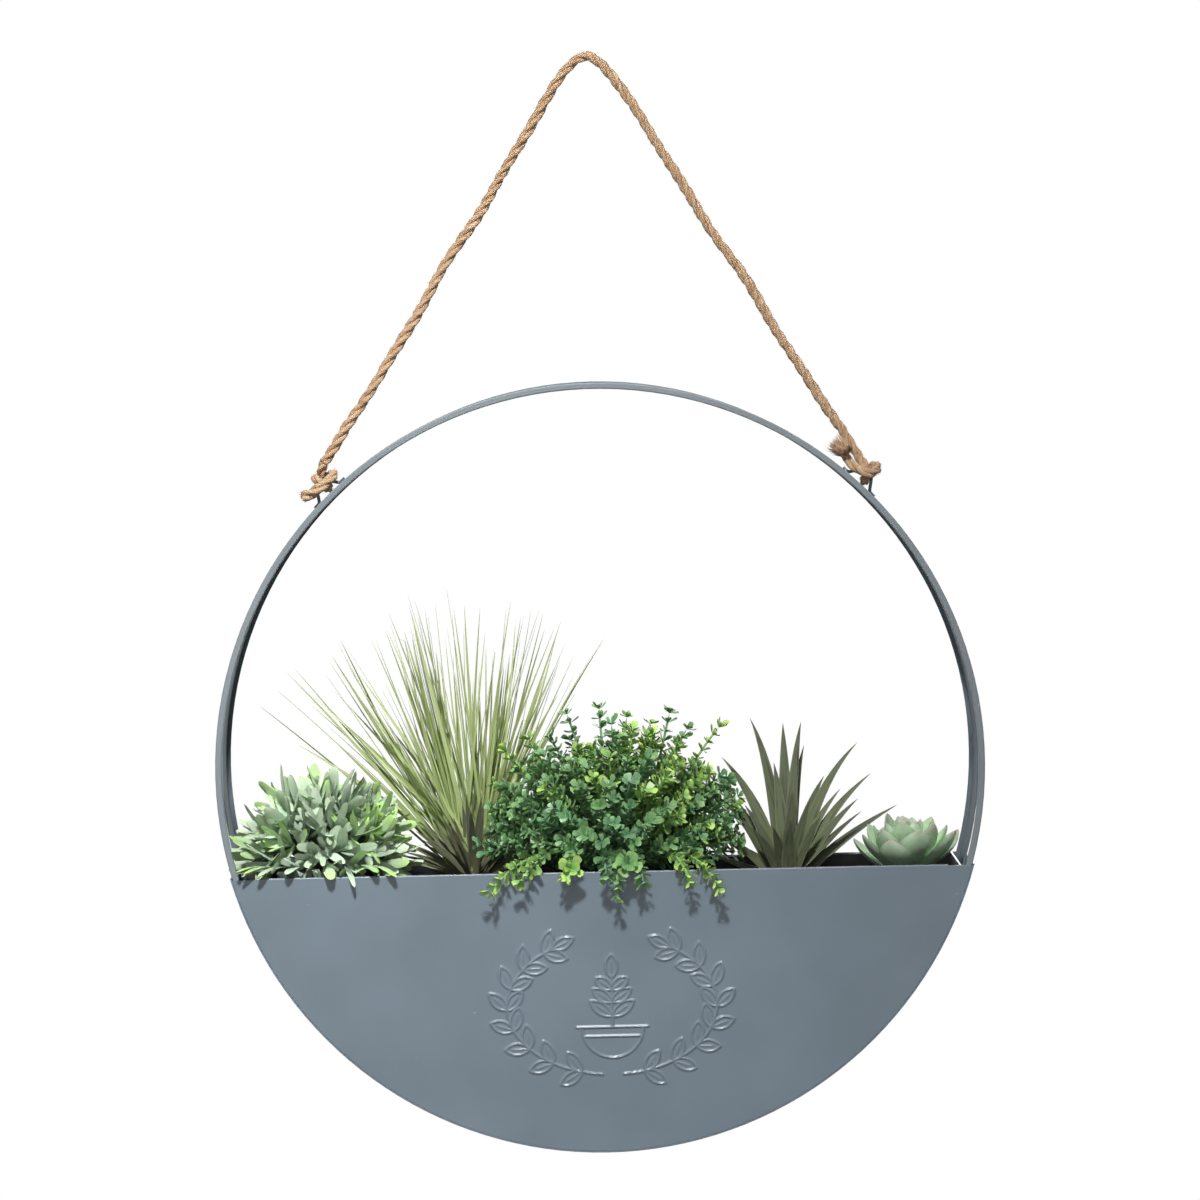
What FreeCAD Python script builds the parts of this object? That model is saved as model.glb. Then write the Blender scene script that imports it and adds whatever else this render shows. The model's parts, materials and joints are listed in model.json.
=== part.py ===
# Hanging planter: a half-moon steel trough held between two hoops and hung on a rope.
# Millimetres. The origin is the underside of the rope where a hook carries it, +Z is up,
# the front panel looks along -Y, and the rope and its eyelets lie in the plane y = 0.
import FreeCAD, Part
import math
import os

V = FreeCAD.Vector

# Overall form
ring_radius = 250.0      # outside of the rolled trough band
ring_drop = 460.0        # hang point down to the centre of the ring
depth = 100.0            # front face to back face
eyelet_setback = 22.0    # plane of the rope in front of the back face
rim_drop = 67.2          # centre of the ring down to the rim of the trough

# Sheet metal
sheet = 1.0              # thickness of panels and band
hem_height = 6.0         # height of the folded rim
hem_end = 16.0           # the fold stops this far from each corner
seat_gap = 0.15          # room between rolled pieces that sit in each other

# Hoops
bar_face = 4.2           # radial size of the front bar
bar_depth = 4.2          # size of the front bar along the depth
bar_edge = 1.0           # rounding of the bar
angle_leg = 40.0         # rear angle section, leg along the depth
angle_lip = 4.0          # rear angle section, leg towards the centre
angle_wall = 1.2         # thickness of the rear angle section
hoop_tuck = 30.0         # hoops reach this far below the rim inside the trough

# Wire eyelets
wire = 2.2               # wire diameter
eyelet_angle = 45.8      # place on the ring, up from the horizontal
eyelet_rise = 9.0        # crown of the eyelet above the hoop
crown = 8.0              # straight top of the eyelet
leg_run = 5.5            # length that each leg takes along the hoop
foot = 4.5               # flat foot that is welded to the hoop
wire_bend = 2.6          # bend radius on the middle of the wire

# Liner and planting foam
liner_room = 9.0         # liner's round side inside the steel band
liner_wall = 1.2
liner_below_rim = 1.0    # liner's edge under the rim
fit_gap = 0.3            # room around liner, foam and plant picks
foam_below_rim = 12.0    # top of the foam under the rim
pick_radius = 4.0        # plant pick at the top of the foam
pick_tip = 1.2           # plant pick at its point
pick_length = 42.0

# Rope and knots
rope = 6.5               # rope diameter
squeezed_rope = 5.2      # thickness of the rope where the hitch is pulled tight
hitch_bore = 3.6         # hole of the hitch round the eyelet wire
tail = 6.8               # diameter of a free rope end
tassel = 11.0            # width of the frayed end
standing_end = 5.0       # rope held by a hitch before it goes round the wire
hitch_lap = 0.5          # pieces of a hitch run this far into each other
bridge = 4.8             # rope from the standing end over the crown of the eyelet
bridge_reach = 1.35      # the bridge ends this many loop radii above the wire
band = 6.0               # thickness of the turn that lies across the right knot
neck = 5.2               # rope between that turn and the frayed end
bend_share = 0.45        # share of the shorter run that a bend of the rope takes

# Places in the knots from the crown of their eyelet: along the wire and up, away from the hoop, forward
cut_tail_start = (9.5, -2.2, 5.4)
cut_tail_end = (-14.0, 3.0, 9.0)
band_right = (-2.5, 5.2, 5.6)
band_left = (9.5, -3.9, 5.2)
frayed_start = (21.3, -3.1, 3.5)
frayed_end = (33.2, -0.7, 3.5)

# Route of the rope from knot to knot as (x, z): straight legs and a bend on the hook
rope_route = [(-177.6, -261.0), (-168.5, -249.2), (-7.0, rope / 2.0), (9.0, rope / 2.0), (173.0, -262.0)]

# Plants: places from the middle or the nearer end of the rim, and from the middle of the depth
sage_from_end = 58.6
sage_forward = 12.0
grass_left = 85.0
grass_back = 30.0
boxwood_right = 9.0
boxwood_forward = 9.0
aloe_from_end = 117.6
aloe_back = 24.0
echeveria_from_end = 40.6
echeveria_forward = 12.0

# Bodies of the plants: half width, half depth and height
sage_half_x = 40.0
sage_half_y = 23.0
sage_height = 34.0
grass_half_x = 16.0
grass_half_y = 10.0
grass_height = 34.0
boxwood_half_x = 62.0
boxwood_half_y = 34.0
boxwood_height = 52.0
aloe_half_x = 14.0
aloe_half_y = 11.0
aloe_height = 24.0
echeveria_half = 15.0
echeveria_height = 24.0
leaf_over_rim = 4.0      # leaves start this far above the rim
top_ring_angle = 78.0    # last ring of cells towards the top of a plant

# Leaves: shortest length, what the longest has more, width and thickness
sage_leaf_length = 23.0
sage_leaf_more = 9.0
sage_leaf_width = 9.0
sage_leaf_thick = 2.4
blade_length = 90.0
blade_more = 62.0
blade_width = 3.4
blade_thick = 1.6
blade_fan = 6.8          # how far the blades fan out sideways
blade_fan_y = 0.9        # the same to the front and back
blade_lean = 18.0        # the whole tuft leans to the left by this much at its tips
sprig_length = 24.0
sprig_more = 12.0
sprig_width = 15.0
sprig_thick = 6.0
trail_start = 22.0       # sprigs that start lower than this above the rim trail over it
trail_length = 27.0      # longest trailing sprig below the rim
trail_width = 13.0
trail_thick = 3.0
trail_rise = 6.0         # a trailing sprig passes this far above the rim and before the panel
trail_out = 11.0         # its tip before the panel
aloe_leaf_length = 45.0
aloe_leaf_more = 20.0
aloe_leaf_climb = 6.0    # each ring of leaves is longer than the one under it
aloe_leaf_width = 8.0
aloe_leaf_thick = 3.0
aloe_lean = 0.12         # slope of the aloe to the right
aloe_fan = 1.05          # how far its leaves fan out sideways
aloe_fan_y = 0.33        # the same to the front and back
rosette_leaf_length = 23.0
rosette_leaf_less = 3.0  # each ring of leaves is shorter than the one under it
rosette_leaf_width = 13.0
rosette_leaf_thick = 5.0
rosette_foot_ring = 2    # first ring of cells of the rosette that has leaves

# Values that follow from the sizes above
ring_z = -ring_drop
rim_z = ring_z - rim_drop
back_y = eyelet_setback
front_y = back_y - depth
band_inner = ring_radius - sheet
seat_radius = band_inner - seat_gap
foam_z = rim_z - foam_below_rim
liner_top = rim_z - liner_below_rim
liner_radius = band_inner - liner_room
liner_z = ring_z - band_inner + liner_radius + fit_gap
liner_front = front_y + 2.0 * sheet + fit_gap
liner_back = back_y - 2.0 * sheet - fit_gap
crown_radius = seat_radius + eyelet_rise
rim_half = math.sqrt(seat_radius ** 2 - rim_drop ** 2)
middle_y = (front_y + back_y) / 2.0
sage_at = V(-rim_half + sage_from_end, middle_y - sage_forward)
grass_at = V(-grass_left, middle_y + grass_back)
boxwood_at = V(boxwood_right, middle_y - boxwood_forward)
aloe_at = V(rim_half - aloe_from_end, middle_y + aloe_back)
echeveria_at = V(rim_half - echeveria_from_end, middle_y - echeveria_forward)
GOLDEN = (math.sqrt(5.0) - 1.0) / 2.0


def save(name, shape):
    """Write one node and print its size, so that a bad solid shows at once."""
    shape.exportStep("parts/" + name + ".step")
    state = "valid" if shape.isValid() else "NOT VALID"
    print("%-18s %d solid(s) %9.0f mm3 %s" % (name, len(shape.Solids), shape.Volume, state))


def ring_point(radius, angle, y=0.0):
    """Point on a circle about the middle of the ring, angle in degrees from +X."""
    turn = math.radians(angle)
    return V(radius * math.cos(turn), y, ring_z + radius * math.sin(turn))


def segment(radius, centre_z, top_z, y0, y1):
    """Half-moon block: a disc cut off level at top_z, between two depths."""
    half = math.sqrt(radius ** 2 - (top_z - centre_z) ** 2)
    left = V(-half, y0, top_z)
    right = V(half, y0, top_z)
    low = V(0, y0, centre_z - radius)
    chord = Part.LineSegment(left, right).toShape()
    bow = Part.Arc(right, low, left).toShape()
    return Part.Face(Part.Wire([chord, bow])).extrude(V(0, y1 - y0, 0))


def polygon_face(points):
    return Part.Face(Part.makePolygon(points + [points[0]]))


def rounded_path(points, radii):
    """Straight runs joined by tangent arcs; radii belong to the inner points."""
    edges = []
    start = points[0]
    for before, corner, after, radius in zip(points, points[1:], points[2:], radii):
        into = (corner - before).normalize()
        out = (after - corner).normalize()
        turn = into.getAngle(out)
        reach = radius * math.tan(turn / 2.0)
        first = corner - into * reach
        last = corner + out * reach
        inward = (out - into).normalize()
        middle = corner + inward * (radius / math.cos(turn / 2.0) - radius)
        edges.append(Part.LineSegment(start, first).toShape())
        edges.append(Part.Arc(first, middle, last).toShape())
        start = last
    edges.append(Part.LineSegment(start, points[-1]).toShape())
    return Part.Wire(edges)


def round_tube(path, diameter):
    """Round bar along a path of runs and arcs."""
    first = path.Edges[0]
    start = first.valueAt(first.FirstParameter)
    heading = first.tangentAt(first.FirstParameter)
    ring = Part.Wire([Part.makeCircle(diameter / 2.0, start, heading)])
    return path.makePipeShell([ring], True, False)


def panel(face_y, inward):
    """Flat half-moon sheet whose top edge is folded over towards the inside."""
    fold_z = rim_z - sheet
    body = segment(seat_radius, ring_z, fold_z, face_y, face_y + inward * sheet)
    half = rim_half - hem_end
    outer = V(-half, face_y, fold_z)
    crest = V(-half, face_y + inward * sheet, rim_z)
    inner = V(-half, face_y + inward * 2.0 * sheet, fold_z)
    hem_low = rim_z - hem_height
    corners = [inner, V(-half, inner.y, hem_low), V(-half, crest.y, hem_low),
               V(-half, crest.y, fold_z), outer]
    edges = [Part.Arc(outer, crest, inner).toShape()]
    for a, b in zip(corners, corners[1:]):
        edges.append(Part.LineSegment(a, b).toShape())
    hem = Part.Face(Part.Wire(edges)).extrude(V(2.0 * half, 0, 0))
    return body.fuse(hem).removeSplitter()


def hoop(profile):
    """Turn a profile, drawn at the right-hand side, over the top of the ring."""
    below = math.degrees(math.asin((rim_drop + hoop_tuck) / seat_radius))
    middle = V(0, 0, ring_z)
    across = V(0, -1, 0)
    start = profile.copy()
    start.rotate(middle, across, -below)
    return start.revolve(middle, across, 180.0 + 2.0 * below)


def bar_profile():
    """Rounded square bar behind the front panel."""
    r1 = seat_radius
    r0 = r1 - bar_face
    y0 = front_y + sheet
    y1 = y0 + bar_depth
    block = polygon_face([V(r0, y0, ring_z), V(r1, y0, ring_z), V(r1, y1, ring_z), V(r0, y1, ring_z)])
    rounded = block.makeOffset2D(-bar_edge).makeOffset2D(bar_edge)
    return rounded.Faces[0]


def angle_profile():
    """L section in front of the back panel: a wide leg outside and a lip at the back."""
    r1 = seat_radius
    y1 = back_y - sheet
    return polygon_face([V(r1, y1, ring_z), V(r1, y1 - angle_leg, ring_z),
                         V(r1 - angle_wall, y1 - angle_leg, ring_z),
                         V(r1 - angle_wall, y1 - angle_wall, ring_z),
                         V(r1 - angle_lip, y1 - angle_wall, ring_z), V(r1 - angle_lip, y1, ring_z)])


def eyelet_point(along, rise):
    """Point of the right-hand eyelet: distance along the hoop and height above it."""
    return ring_point(seat_radius + rise, eyelet_angle + math.degrees(along / seat_radius))


def eyelet():
    """Bent wire bridge on the right-hand side, feet on the hoop."""
    weld = wire / 2.0 + seat_gap
    half = crown / 2.0
    stations = [(half + leg_run + foot, weld), (half + leg_run, weld), (half, eyelet_rise)]
    stations += [(-along, rise) for along, rise in reversed(stations)]
    points = [eyelet_point(along, rise) for along, rise in stations]
    return round_tube(rounded_path(points, [wire_bend] * (len(points) - 2)), wire)


def mirrored(shape):
    return shape.mirror(V(0, 0, 0), V(1, 0, 0))


def rope_tube():
    """Rope from knot to knot; every bend is as wide as its runs allow."""
    points = [V(x, 0, z) for x, z in rope_route]
    radii = []
    for before, corner, after in zip(points, points[1:], points[2:]):
        turn = (corner - before).getAngle(after - corner)
        shorter = min((corner - before).Length, (after - corner).Length)
        radii.append(bend_share * shorter / math.tan(turn / 2.0))
    path = rounded_path(points, radii)
    tube = round_tube(path, rope)
    section = math.pi * rope ** 2 / 4.0
    print("rope bends", [round(r, 1) for r in radii], "length", round(path.Length, 1))
    print("rope volume against section times length: %.5f" % (tube.Volume / (section * path.Length)))
    return tube


def rod(start, end, r0, r1):
    """Round or tapered rod between two points."""
    line = end - start
    if r0 == r1:
        return Part.makeCylinder(r0, line.Length, start, line)
    return Part.makeCone(r0, r1, line.Length, start, line)


def at_crown(side, along=0.0, outward=0.0, forward=0.0):
    """Point by its distances from the middle of an eyelet's crown, right-hand for side +1."""
    turn = math.radians(eyelet_angle)
    up_wire = V(-side * math.sin(turn), 0, math.cos(turn))
    off_hoop = V(side * math.cos(turn), 0, math.sin(turn))
    return V(0, -forward, ring_z) + off_hoop * (crown_radius + outward) + up_wire * along


def hitch(side, end, before):
    """Turn of rope round the crown of an eyelet and the standing end that comes down to it."""
    heading = (end - before).normalize()
    tube = squeezed_rope / 2.0
    middle = hitch_bore / 2.0 + tube
    crest = at_crown(side, outward=middle * bridge_reach)
    loop = Part.makeTorus(middle, tube, at_crown(side), at_crown(side, along=1.0) - at_crown(side))
    top = Part.makeCylinder(rope / 2.0, standing_end, end, heading)
    over = rod(end + heading * (standing_end - hitch_lap), crest, bridge / 2.0, bridge / 2.0)
    return loop.multiFuse([top, over])


def left_knot():
    """Hitch whose short cut tail lies across its front."""
    end, before = [V(x, 0, z) for x, z in rope_route[:2]]
    start, finish = at_crown(-1, *cut_tail_start), at_crown(-1, *cut_tail_end)
    return hitch(-1, end, before).fuse(rod(start, finish, tail / 2.0, tail / 2.0))


def right_knot():
    """Bulkier hitch with a turn across its front and a frayed tail beside the standing rope."""
    before, end = [V(x, 0, z) for x, z in rope_route[-2:]]
    right, left = at_crown(1, *band_right), at_crown(1, *band_left)
    start, finish = at_crown(1, *frayed_start), at_crown(1, *frayed_end)
    across = rod(right, left, band / 2.0, band / 2.0)
    free = rod(left, finish, neck / 2.0, neck / 2.0)
    frayed = rod(start, finish, tail / 2.0, tassel / 2.0)
    return hitch(1, end, before).multiFuse([across, free, frayed])


def share(index):
    """Even but irregular spread of values between 0 and 1."""
    return (index * GOLDEN) % 1.0


def closed_solid(triangles):
    """Closed solid from flat three-cornered faces."""
    faces = [polygon_face(list(corners)) for corners in triangles]
    shell = Part.makeShell(faces)
    shell.sewShape()
    solid = Part.makeSolid(shell)
    if solid.Volume < 0:
        solid.reverse()
    return solid


def mound(centre, half_x, half_y, height, foot_angle, levels, count):
    """Rings of points up a faceted bulging dome that stands on the foam."""
    middle_z = foam_z - height * math.sin(math.radians(foot_angle))
    rings = []
    for level in range(levels + 1):
        rise = math.radians(foot_angle + (top_ring_angle - foot_angle) * level / levels)
        ring = []
        for step in range(count):
            turn = 2.0 * math.pi * (step + 0.5 * (level % 2)) / count
            ring.append(V(centre.x + half_x * math.cos(rise) * math.cos(turn),
                          centre.y + half_y * math.cos(rise) * math.sin(turn),
                          middle_z + height * math.sin(rise)))
        rings.append(ring)
    return rings


def plant(rings, leaf):
    """Grow a leaf with a broad middle and a pointed tip out of the cells above the rim."""
    count = len(rings[0])
    foot_middle = sum(rings[0], V()) * (1.0 / count)
    top = sum(rings[-1], V()) * (1.0 / count)
    triangles = []
    for level, (low, high) in enumerate(zip(rings, rings[1:])):
        shift = level % 2
        for step in range(count):
            cell = [low[step], low[(step + 1) % count],
                    high[(step + shift) % count], high[(step + shift - 1) % count]]
            middle = sum(cell, V()) * 0.25
            if middle.z < rim_z + leaf_over_rim:
                triangles += [(cell[0], cell[1], cell[2]), (cell[0], cell[2], cell[3])]
                continue
            belly, tip, width, thickness = leaf(level, step, middle, middle - foot_middle)
            side = ((cell[1] + cell[2]) - (cell[0] + cell[3])).normalize() * (width / 2.0)
            over = (tip - middle).cross(side).normalize() * (thickness / 2.0)
            section = [belly - side - over, belly + side - over, belly + side + over, belly - side + over]
            for k in range(4):
                n = (k + 1) % 4
                triangles += [(cell[k], cell[n], section[n]), (cell[k], section[n], section[k]),
                              (section[k], section[n], tip)]
    for step in range(count):
        following = (step + 1) % count
        triangles.append((foot_middle, rings[0][following], rings[0][step]))
        triangles.append((top, rings[-1][step], rings[-1][following]))
    return closed_solid(triangles)


def sage_leaf(level, step, middle, out):
    """Short blunt leaf that stands off the mound, broadest past its middle."""
    upward, broadest = 0.35, 0.6
    heading = (out.normalize() + V(0, 0, upward)).normalize()
    length = sage_leaf_length + sage_leaf_more * share(7 * level + step)
    belly = middle + heading * (broadest * length)
    return belly, middle + heading * length, sage_leaf_width, sage_leaf_thick


def grass_leaf(level, step, middle, out):
    """Long narrow blade; the lower a blade starts, the further it leans out."""
    broadest, leant = 0.62, 0.42
    length = blade_length + blade_more * share(5 * level + step)
    lean = V(out.x * blade_fan - blade_lean, out.y * blade_fan_y, 0)
    belly = middle + lean * leant + V(0, 0, broadest * length)
    return belly, middle + lean + V(0, 0, length), blade_width, blade_thick


def boxwood_leaf(level, step, middle, out):
    """Sprig of small leaves; the lowest ones in front trail over the panel."""
    front_share, shortest_trail, upward, broadest = 0.55, 0.6, 0.15, 0.65
    in_front = middle.y < boxwood_at.y - front_share * boxwood_half_y
    if in_front and middle.z < rim_z + trail_start:
        drop = trail_length * (shortest_trail + (1.0 - shortest_trail) * share(3 * step))
        belly = V(middle.x, front_y - trail_rise, rim_z + trail_rise)
        return belly, V(middle.x, front_y - trail_out, rim_z - drop), trail_width, trail_thick
    heading = (out.normalize() + V(0, 0, upward)).normalize()
    length = sprig_length + sprig_more * share(5 * level + step)
    return middle + heading * (broadest * length), middle + heading * length, sprig_width, sprig_thick


def aloe_leaf(level, step, middle, out):
    """Stiff tapering leaf, broad at its foot."""
    broadest, uneven = 0.4, 0.1
    length = aloe_leaf_length + aloe_leaf_more * share(3 * level + step) + aloe_leaf_climb * level
    rise = 1.0 - uneven * share(2 * step + level)
    sideways = out.x / aloe_half_x * aloe_fan + aloe_lean
    heading = V(sideways, out.y / aloe_half_y * aloe_fan_y, rise).normalize()
    return middle + heading * (broadest * length), middle + heading * length, aloe_leaf_width, aloe_leaf_thick


def echeveria_leaf(level, step, middle, out):
    """Thick spoon-shaped leaf of a rosette, steeper towards the top."""
    lowest_rise, steeper, broadest = 0.12, 0.55, 0.62
    ring = level - rosette_foot_ring
    flat = V(out.x, out.y, 0).normalize()
    heading = (flat + V(0, 0, lowest_rise + steeper * ring)).normalize()
    length = rosette_leaf_length - rosette_leaf_less * ring
    belly = middle + heading * (broadest * length)
    return belly, middle + heading * length, rosette_leaf_width, rosette_leaf_thick


def pick(at, gap=0.0):
    """Tapered stem of a plant in the foam, or with a gap the hole that it makes."""
    tip = V(at.x, at.y, foam_z - pick_length - gap)
    return Part.makeCone(pick_tip + gap, pick_radius + gap, pick_length + gap, tip, V(0, 0, 1))


def liner():
    """Open plastic trough that lies on the bottom of the steel band."""
    outer = segment(liner_radius, liner_z, liner_top, liner_front, liner_back)
    room = segment(liner_radius - liner_wall, liner_z, rim_z, liner_front + liner_wall,
                   liner_back - liner_wall)
    return outer.cut(room)


def foam(places):
    """Planting foam in the liner, with a hole for each pick."""
    inset = liner_wall + fit_gap
    block = segment(liner_radius - inset, liner_z, foam_z, liner_front + inset, liner_back - inset)
    return block.cut([pick(at, fit_gap) for at in places])


sage_body = mound(sage_at, sage_half_x, sage_half_y, sage_height, foot_angle=-35.0, levels=5, count=10)
grass_body = mound(grass_at, grass_half_x, grass_half_y, grass_height, foot_angle=-12.0, levels=5, count=8)
boxwood_body = mound(boxwood_at, boxwood_half_x, boxwood_half_y, boxwood_height,
                     foot_angle=-40.0, levels=7, count=13)
aloe_body = mound(aloe_at, aloe_half_x, aloe_half_y, aloe_height, foot_angle=-15.0, levels=4, count=7)
echeveria_body = mound(echeveria_at, echeveria_half, echeveria_half, echeveria_height,
                       foot_angle=-25.0, levels=5, count=8)
plants = {
    "sage": (sage_at, plant(sage_body, sage_leaf)),
    "grass": (grass_at, plant(grass_body, grass_leaf)),
    "boxwood": (boxwood_at, plant(boxwood_body, boxwood_leaf)),
    "aloe": (aloe_at, plant(aloe_body, aloe_leaf)),
    "echeveria": (echeveria_at, plant(echeveria_body, echeveria_leaf)),
}

os.makedirs("parts", exist_ok=True)

save("front_panel", panel(front_y, 1.0))
save("back_panel", panel(back_y, -1.0))
save("trough_band", segment(ring_radius, ring_z, rim_z, front_y, back_y).cut(
    segment(band_inner, ring_z, rim_z, front_y, back_y)))
save("front_hoop", hoop(bar_profile()))
save("rear_hoop", hoop(angle_profile()))
save("right_eyelet", eyelet())
save("left_eyelet", mirrored(eyelet()))
save("rope", rope_tube())
save("left_knot", left_knot())
save("right_knot", right_knot())
save("liner", liner())
save("planting_foam", foam([at for at, shape in plants.values()]))
for name, (at, shape) in plants.items():
    save(name + "_plant", shape)
    save(name + "_pick", pick(at))
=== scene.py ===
# %% [markdown]
# # A round hanging planter, piece by piece
# The steelwork, the places of the plants and the one joint come from a construction model, which is
# loaded here as a fixed frame. This lesson gives it its looks: paint, rope, leaves and light.
# Sizes below are in millimetres, as a maker would note them, and turn into metres where a mesh is made.
# Only the floor and the lamps, which stand round the planter, are placed in metres.

# %% Load the frame
import json
import math
import random

import bpy
import numpy as np
from mathutils import Matrix, Vector


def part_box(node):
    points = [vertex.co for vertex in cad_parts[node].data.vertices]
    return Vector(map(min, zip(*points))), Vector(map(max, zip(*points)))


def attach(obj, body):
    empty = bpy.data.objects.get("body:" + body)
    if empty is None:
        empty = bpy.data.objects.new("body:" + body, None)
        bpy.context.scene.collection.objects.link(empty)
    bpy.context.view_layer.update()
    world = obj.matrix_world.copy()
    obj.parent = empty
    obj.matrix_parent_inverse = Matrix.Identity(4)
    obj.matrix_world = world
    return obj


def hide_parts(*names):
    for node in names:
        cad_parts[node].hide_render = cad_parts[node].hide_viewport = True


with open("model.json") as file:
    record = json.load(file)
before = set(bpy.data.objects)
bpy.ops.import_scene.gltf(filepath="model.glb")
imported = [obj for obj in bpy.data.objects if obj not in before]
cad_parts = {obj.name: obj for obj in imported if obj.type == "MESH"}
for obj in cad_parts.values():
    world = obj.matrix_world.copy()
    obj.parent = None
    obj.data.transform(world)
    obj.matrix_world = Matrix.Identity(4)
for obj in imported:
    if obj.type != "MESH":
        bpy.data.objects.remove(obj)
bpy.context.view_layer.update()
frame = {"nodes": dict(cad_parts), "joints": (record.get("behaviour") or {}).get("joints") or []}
MM = 0.001

# %% [markdown]
# ## Places that the frame gives
# A reader could type these numbers, but then a change in the construction would leave the looks behind.
# So the rim, the panel's face, the top of the foam and the foot of each plant are read from the frame.

# %% Read the places
def box_mm(node):
    """Lowest and highest corner of a construction piece, in millimetres."""
    low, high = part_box(node)
    return low / MM, high / MM


rim_z = box_mm("front_panel")[1].z
front_y = box_mm("front_panel")[0].y
back_y = box_mm("back_panel")[1].y
foam_low, foam_high = box_mm("planting_foam")
ring_radius = 250.0               # outside of the trough's round band
ring_middle = Vector((0.0, (front_y + back_y) / 2, box_mm("trough_band")[0].z + ring_radius))


def foot_of(plant):
    """Top of the pick that holds a plant, where its stems start."""
    low, high = box_mm(plant + "_pick")
    return Vector(((low.x + high.x) / 2, (low.y + high.y) / 2, high.z))


print("rim", round(rim_z, 1), "front", round(front_y, 1), "back", round(back_y, 1),
      "foam", round(foam_high.z, 1))

# %% [markdown]
# ## The camera
# The picture was taken from far away with a long lens, a little above the middle of the ring.
# The back rim shows 13 pixels above the front one, which gives the height of the lens, and the whole
# planter hangs a little askew, which is a roll of the camera about the middle of the ring.

# %% Camera
PICTURE = 1200                    # side of the square picture in pixels
focal_pixels = 5587.0             # focal length, measured in those pixels
sensor = 36.0                     # width of the film
lens_at = Vector((-6.4, -3678.0, ring_middle.z + 275.8))
looks_down = math.radians(2.66)
looks_right = math.radians(0.10)
hangs_askew = math.radians(1.2)

camera_data = bpy.data.cameras.new("camera")
camera_data.sensor_width = sensor
camera_data.lens = focal_pixels / PICTURE * sensor
camera_data.clip_end = 100.0      # metres, well past the floor
camera = bpy.data.objects.new("camera", camera_data)
bpy.context.scene.collection.objects.link(camera)
aim = Matrix.Rotation(-looks_right, 4, "Z") @ Matrix.Rotation(math.pi / 2 - looks_down, 4, "X")
pivot = Matrix.Translation(ring_middle * MM)
askew = pivot @ Matrix.Rotation(hangs_askew, 4, "Y") @ pivot.inverted()
camera.matrix_world = askew @ Matrix.Translation(lens_at * MM) @ aim
bpy.context.scene.camera = camera
print("lens", round(camera_data.lens, 1), "mm, camera at", camera.matrix_world.translation)

# %% [markdown]
# ## Colours and nodes
# A colour picked from a screen is an sRGB hex code, but shaders work with linear light, so one function
# turns it over. One more adds a shader node with its settings and links, which keeps each finish short.

# %% Colour and node helpers
def colour(code):
    """sRGB hex code to linear red, green, blue and alpha."""
    shares = [int(code[k:k + 2], 16) / 255 for k in (1, 3, 5)]
    linear = [s / 12.92 if s <= 0.04045 else ((s + 0.055) / 1.055) ** 2.4 for s in shares]
    return (*linear, 1.0)


def fill(tree, node, inputs):
    """Fill sockets of a node: an output of another node is linked, anything else is a constant."""
    for socket, value in inputs.items():
        if isinstance(value, bpy.types.NodeSocket):
            tree.links.new(value, node.inputs[socket])
        else:
            node.inputs[socket].default_value = value


def add(tree, kind, inputs=None, stops=(), out=0, **settings):
    """Add a node and give back one of its outputs; settings are its own fields, stops fill a ramp."""
    node = tree.nodes.new("ShaderNode" + kind)
    for field, value in settings.items():
        setattr(node, field, value)
    fill(tree, node, inputs or {})
    for k, (position, code) in enumerate(stops):
        elements = node.color_ramp.elements
        if k == 0:
            elements.remove(elements[1])
            elements[0].position = position
        stop = elements[0] if k == 0 else elements.new(position)
        stop.color = colour(code)
    return node.outputs[out]


def surface(name, constants):
    """New material with its node tree and its shader, whose constants are set here."""
    material = bpy.data.materials.new(name)
    material.use_nodes = True
    shader = material.node_tree.nodes["Principled BSDF"]
    fill(material.node_tree, shader, constants)
    return material, material.node_tree, shader


def per_mm(size):
    """Scale of a pattern, in the metres of the scene, whose features are size millimetres wide."""
    return 1.0 / (size * MM)


print("mid grey #808080 is", round(colour("#808080")[0], 3), "in linear light")

# %% [markdown]
# ## Making a piece
# Every piece below is worked out as corners and faces, and then made the same way: scaled to metres,
# smoothed, given its finishes and tied to the body that carries it. Numbers kept at the corners, such as
# how far along a leaf a corner lies, are read by the finish later on. A piece of the construction that is
# good as it is only gets its finish.

# %% Piece helpers
def make_piece(name, points, faces, finishes, body, slot, stands_for=(), marks=None, finish_of=None,
               crease=None):
    """Mesh object from millimetre points, riding on a body and standing for construction pieces."""
    mesh = bpy.data.meshes.new(name)
    mesh.from_pydata((np.array(points) * MM).tolist(), [], faces)
    for mark, values in (marks or {}).items():
        kept = mesh.attributes.new(mark, "FLOAT", "POINT")
        kept.data.foreach_set("value", np.array(values, np.float32))
    for finish in finishes:
        mesh.materials.append(finish)
    if finish_of is not None:
        mesh.polygons.foreach_set("material_index", finish_of)
    mesh.polygons.foreach_set("use_smooth", [True] * len(faces))
    if crease is not None:
        mesh.set_sharp_from_angle(angle=math.radians(crease))
    mesh.update()
    piece = bpy.data.objects.new(name, mesh)
    bpy.context.scene.collection.objects.link(piece)
    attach(piece, body)
    if stands_for:
        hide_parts(*stands_for)
    print(name, len(points), "corners", len(faces), "faces")
    return piece


def paint(finish, *nodes):
    """Give construction pieces a finish."""
    for node in nodes:
        materials = frame["nodes"][node].data.materials
        materials.clear()
        materials.append(finish)
    print(finish.name, "on", ", ".join(nodes))


print("to be dressed:", ", ".join(sorted(frame["nodes"])))

# %% [markdown]
# ## Jute rope
# The hanger is a laid rope: three strands of jute fibre, twisted round each other once in 32 mm.
# A plain tube with a bump pattern would look like a hose from near by, so the strands are real tubes that
# wind round the middle of the rope, each with ridges of yarn, and loose fibres stand off all along.

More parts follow.
